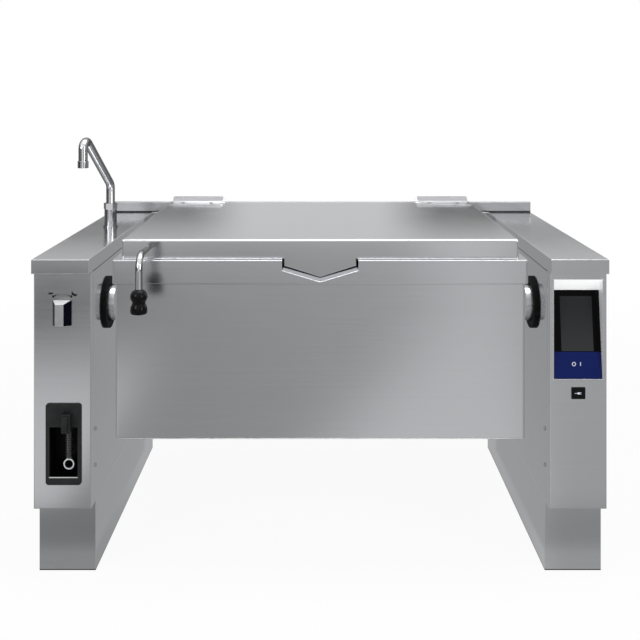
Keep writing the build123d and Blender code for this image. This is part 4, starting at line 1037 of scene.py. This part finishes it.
# %% Ribbed grip
def ribbed_recipe():
    cuts, corners, rounding = 180, 40, 0.004
    sizes = {"Foot": PLACE, "Top": PLACE, "Radius": FLOAT, "Pitch": FLOAT, "Groove": FLOAT}
    recipe = Recipe("ribbed_grip", {**sizes, "Finish": PAINT})
    line = recipe.shape("CurvePrimitiveLine", Start=recipe.given("Foot"), End=recipe.given("Top"))
    line = recipe.shape("ResampleCurve", Curve=line, Count=cuts)
    height = recipe.along(recipe.node("GeometryNodeInputPosition"), "Z")
    above = height - recipe.along(recipe.given("Foot"), "Z")
    turn = above.maths("DIVIDE", above, recipe.given("Pitch")) * math.tau
    wave = turn.maths("COSINE", turn) * 0.5 + 0.5
    narrow = wave.maths("POWER", wave, 3.0) * recipe.given("Groove")
    crown = recipe.along(recipe.given("Top"), "Z") - height
    tip = recipe.fade(crown, 0.0, rounding, 0.82, 1.0)
    foot = recipe.fade(above, 0.0, rounding, 0.80, 1.0)
    radius = recipe.given("Radius")
    circle = recipe.shape("CurvePrimitiveCircle", Resolution=corners, Radius=radius)
    sweep = {"Curve": line, "Profile_Curve": circle, "Scale": (1 - narrow) * tip * foot}
    body = recipe.shape("CurveToMesh", Fill_Caps=True, **sweep)
    return recipe.close(recipe.shape("SetShadeSmooth", Geometry=body))


ribbed_grip = ribbed_recipe()
grip_low, grip_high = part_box("spray_grip")
grip_middle = (grip_low + grip_high) / 2
grip_sizes = {
    "Foot": (grip_middle.x, grip_middle.y, grip_low.z),
    "Top": (grip_middle.x, grip_middle.y, grip_high.z),
    "Radius": (grip_high.x - grip_low.x) / 2,
    "Pitch": 0.0072,
    "Groove": 0.16,
    "Finish": finishes["ribbed_plastic"],
}
grip_mesh = ribbed_grip.make("spray_grip_visual", grip_sizes)
add_piece("spray_grip_visual", grip_mesh, "spray_gun", ["spray_grip"])

# %% [markdown]
# The handle's grip is a turned shape, a ball above a short roll. Its outline is a list of heights
# and radii, both as shares of the grip's box, and a full turn of its short straight steps closes
# the solid.


# %% Turned handle grip
def turned(name, box, outline, steps, finish):
    """A solid of revolution about the upright axis of a box."""
    low, high = box
    centre = (low + high) / 2
    reach = (high.x - low.x) / 2
    rows = [(low.z + share * (high.z - low.z), radius * reach) for share, radius in outline]
    corners = []
    for height, radius in rows:
        for step in range(steps):
            turn = math.tau * step / steps
            offset = Vector((math.cos(turn), math.sin(turn), 0)) * radius
            corners.append((centre.x + offset.x, centre.y + offset.y, height))
    faces = [list(range(steps)), list(range(len(corners) - steps, len(corners)))]
    for row in range(len(rows) - 1):
        first, above = row * steps, (row + 1) * steps
        for step in range(steps):
            after = (step + 1) % steps
            faces.append([first + step, first + after, above + after, above + step])
    mesh = listed(name, corners, faces, finish)
    mesh.shade_smooth()
    return mesh


roll = [(0.0, 0.82), (0.02, 0.93), (0.06, 0.985), (0.12, 1.0), (0.18, 1.0), (0.24, 0.975)]
roll += [(0.30, 0.93), (0.35, 0.86), (0.385, 0.80)]
waist, waist_radius, crown, crown_radius = 0.40, 0.78, 0.985, 0.30
ball_middle, ball_reach, ball_steps, grip_corners = 0.68, 0.315, 24, 64
ball = []
for step in range(ball_steps + 1):
    share = waist + (crown - waist) * step / ball_steps
    least = waist_radius if share < ball_middle else crown_radius
    square = 1 - ((share - ball_middle) / ball_reach) ** 2
    ball.append((share, max(square, least**2) ** 0.5))
grip_outline = roll + ball + [(1.0, 0.36)]
grip_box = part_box("lid_handle_grip")
grip_paint = finishes["grip_plastic"]
grip_shape = turned("handle_grip_visual", grip_box, grip_outline, grip_corners, grip_paint)
add_piece("handle_grip_visual", grip_shape, "lid", ["lid_handle_grip"])

# %% [markdown]
# The dial above the knob is a row of dots on an arc, small in the middle and larger to both ends,
# as the pan tips faster there. The recipe places them by their number alone.


# %% Dial
def dial_recipe():
    sizes = {"Count": COUNT, "Centre": PLACE, "Radius": FLOAT, "Spread": FLOAT, "Dot": FLOAT}
    recipe = Recipe("dial_dots", {**sizes, "Finish": PAINT})
    number = recipe.node("GeometryNodeInputIndex")
    last = recipe.given("Count") - 1
    share = number.maths("DIVIDE", number, last) * 2 - 1
    angle = share * recipe.given("Spread")
    x = angle.maths("SINE", angle) * recipe.given("Radius")
    z = angle.maths("COSINE", angle) * recipe.given("Radius")
    on_arc = recipe.node("ShaderNodeCombineXYZ", values={"X": x, "Z": z})
    place = recipe.vector_maths("ADD", recipe.given("Centre"), on_arc)
    points = recipe.shape("Points", Count=recipe.given("Count"), Position=place)
    dot = recipe.shape("MeshCylinder", Vertices=16, Radius=recipe.given("Dot"), Depth=INK_DEPTH)
    grown = abs(share)
    size = 0.5 + grown.maths("POWER", grown, 3.0) * 1.1
    scale = recipe.node("ShaderNodeCombineXYZ", values={"X": size, "Y": size, "Z": 1.0})
    to_front = (math.radians(90), 0, 0)
    copies = {"Points": points, "Instance": dot, "Rotation": to_front, "Scale": scale}
    return recipe.close(recipe.shape("InstanceOnPoints", **copies))


INK_GAP, INK_DEPTH = 0.0001, 0.0002
knob_low, knob_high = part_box("tilt_knob")
knob_middle = (knob_low + knob_high) / 2
fascia_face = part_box("left_fascia")[0].y
dial_dots = dial_recipe().make(
    "dial_dots",
    {
        "Count": 9,
        "Centre": (knob_middle.x, fascia_face - INK_GAP - INK_DEPTH / 2, knob_middle.z),
        "Radius": 0.0520,
        "Spread": math.radians(29),
        "Dot": 0.0021,
        "Finish": dark_print,
    },
)
add_piece("dial_dots", dial_dots, "cabinet")


def pan_sign(centre, turn, size):
    """A small pan seen from the side, turned by an angle, for the ends of the dial."""
    half = [(0.0, -3.8), (5.6, -3.8), (7.4, 3.5), (5.6, 3.5), (4.8, 0.9), (0.0, 0.9)]
    outline = half + [(-x, z) for x, z in reversed(half[1:-1])]
    cosine, sine = math.cos(turn) * size, math.sin(turn) * size
    turned_half = [(x * cosine - z * sine, x * sine + z * cosine) for x, z in outline]
    return [(centre[0] + x, centre[1] + z) for x, z in turned_half]


level_pan = pan_sign((knob_middle.x - 0.0325, knob_middle.z + 0.0550), 0.0, 0.0009)
tipped_place = (knob_middle.x + 0.0330, knob_middle.z + 0.0525)
tipped_pan = pan_sign(tipped_place, math.radians(-28), 0.0012)
dial_signs = printed(
    "dial_signs", [level_pan, tipped_pan], lambda z: fascia_face - INK_GAP, INK_DEPTH, dark_print
)
add_piece("dial_signs", dial_signs, "cabinet")

# %% [markdown]
# The on and off marks are printed on the leaning glass, so their plates lean with it. The socket's
# cover carries a small plug sign.

# %% Marks on the glass and on the socket's cover
glass_lean = (glass_high.y - GLASS_THICKNESS - glass_low.y) / (glass_high.z - glass_low.z)


def on_glass(z):
    """The place along Y of a print on the leaning glass at this height."""
    return glass_low.y + (z - glass_low.z) * glass_lean - INK_GAP


mark_height = 0.6015
off_mark = ring_cells((0.7105, mark_height), (0.0054, 0.0056), 0.0017, 28)
on_mark = bar((0.7288, mark_height), (0.0019, 0.0096))
switch_marks = printed("switch_marks", [*off_mark, on_mark], on_glass, INK_DEPTH, pale_print)
add_piece("switch_marks", switch_marks, "cabinet")

cover_low, cover_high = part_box("socket_cover")
cover_middle = (cover_low + cover_high) / 2
plug = [
    bar((cover_middle.x + x, cover_middle.z + z), size)
    for x, z, size in (
        (-0.0065, 0.0, (0.0080, 0.0012)),
        (0.0005, 0.0, (0.0060, 0.0056)),
        (0.0058, 0.0017, (0.0046, 0.0011)),
        (0.0058, -0.0017, (0.0046, 0.0011)),
    )
]
plug_sign = printed("plug_sign", plug, lambda z: cover_low.y - INK_GAP, INK_DEPTH, pale_print)
add_piece("plug_sign", plug_sign, "socket_flap")
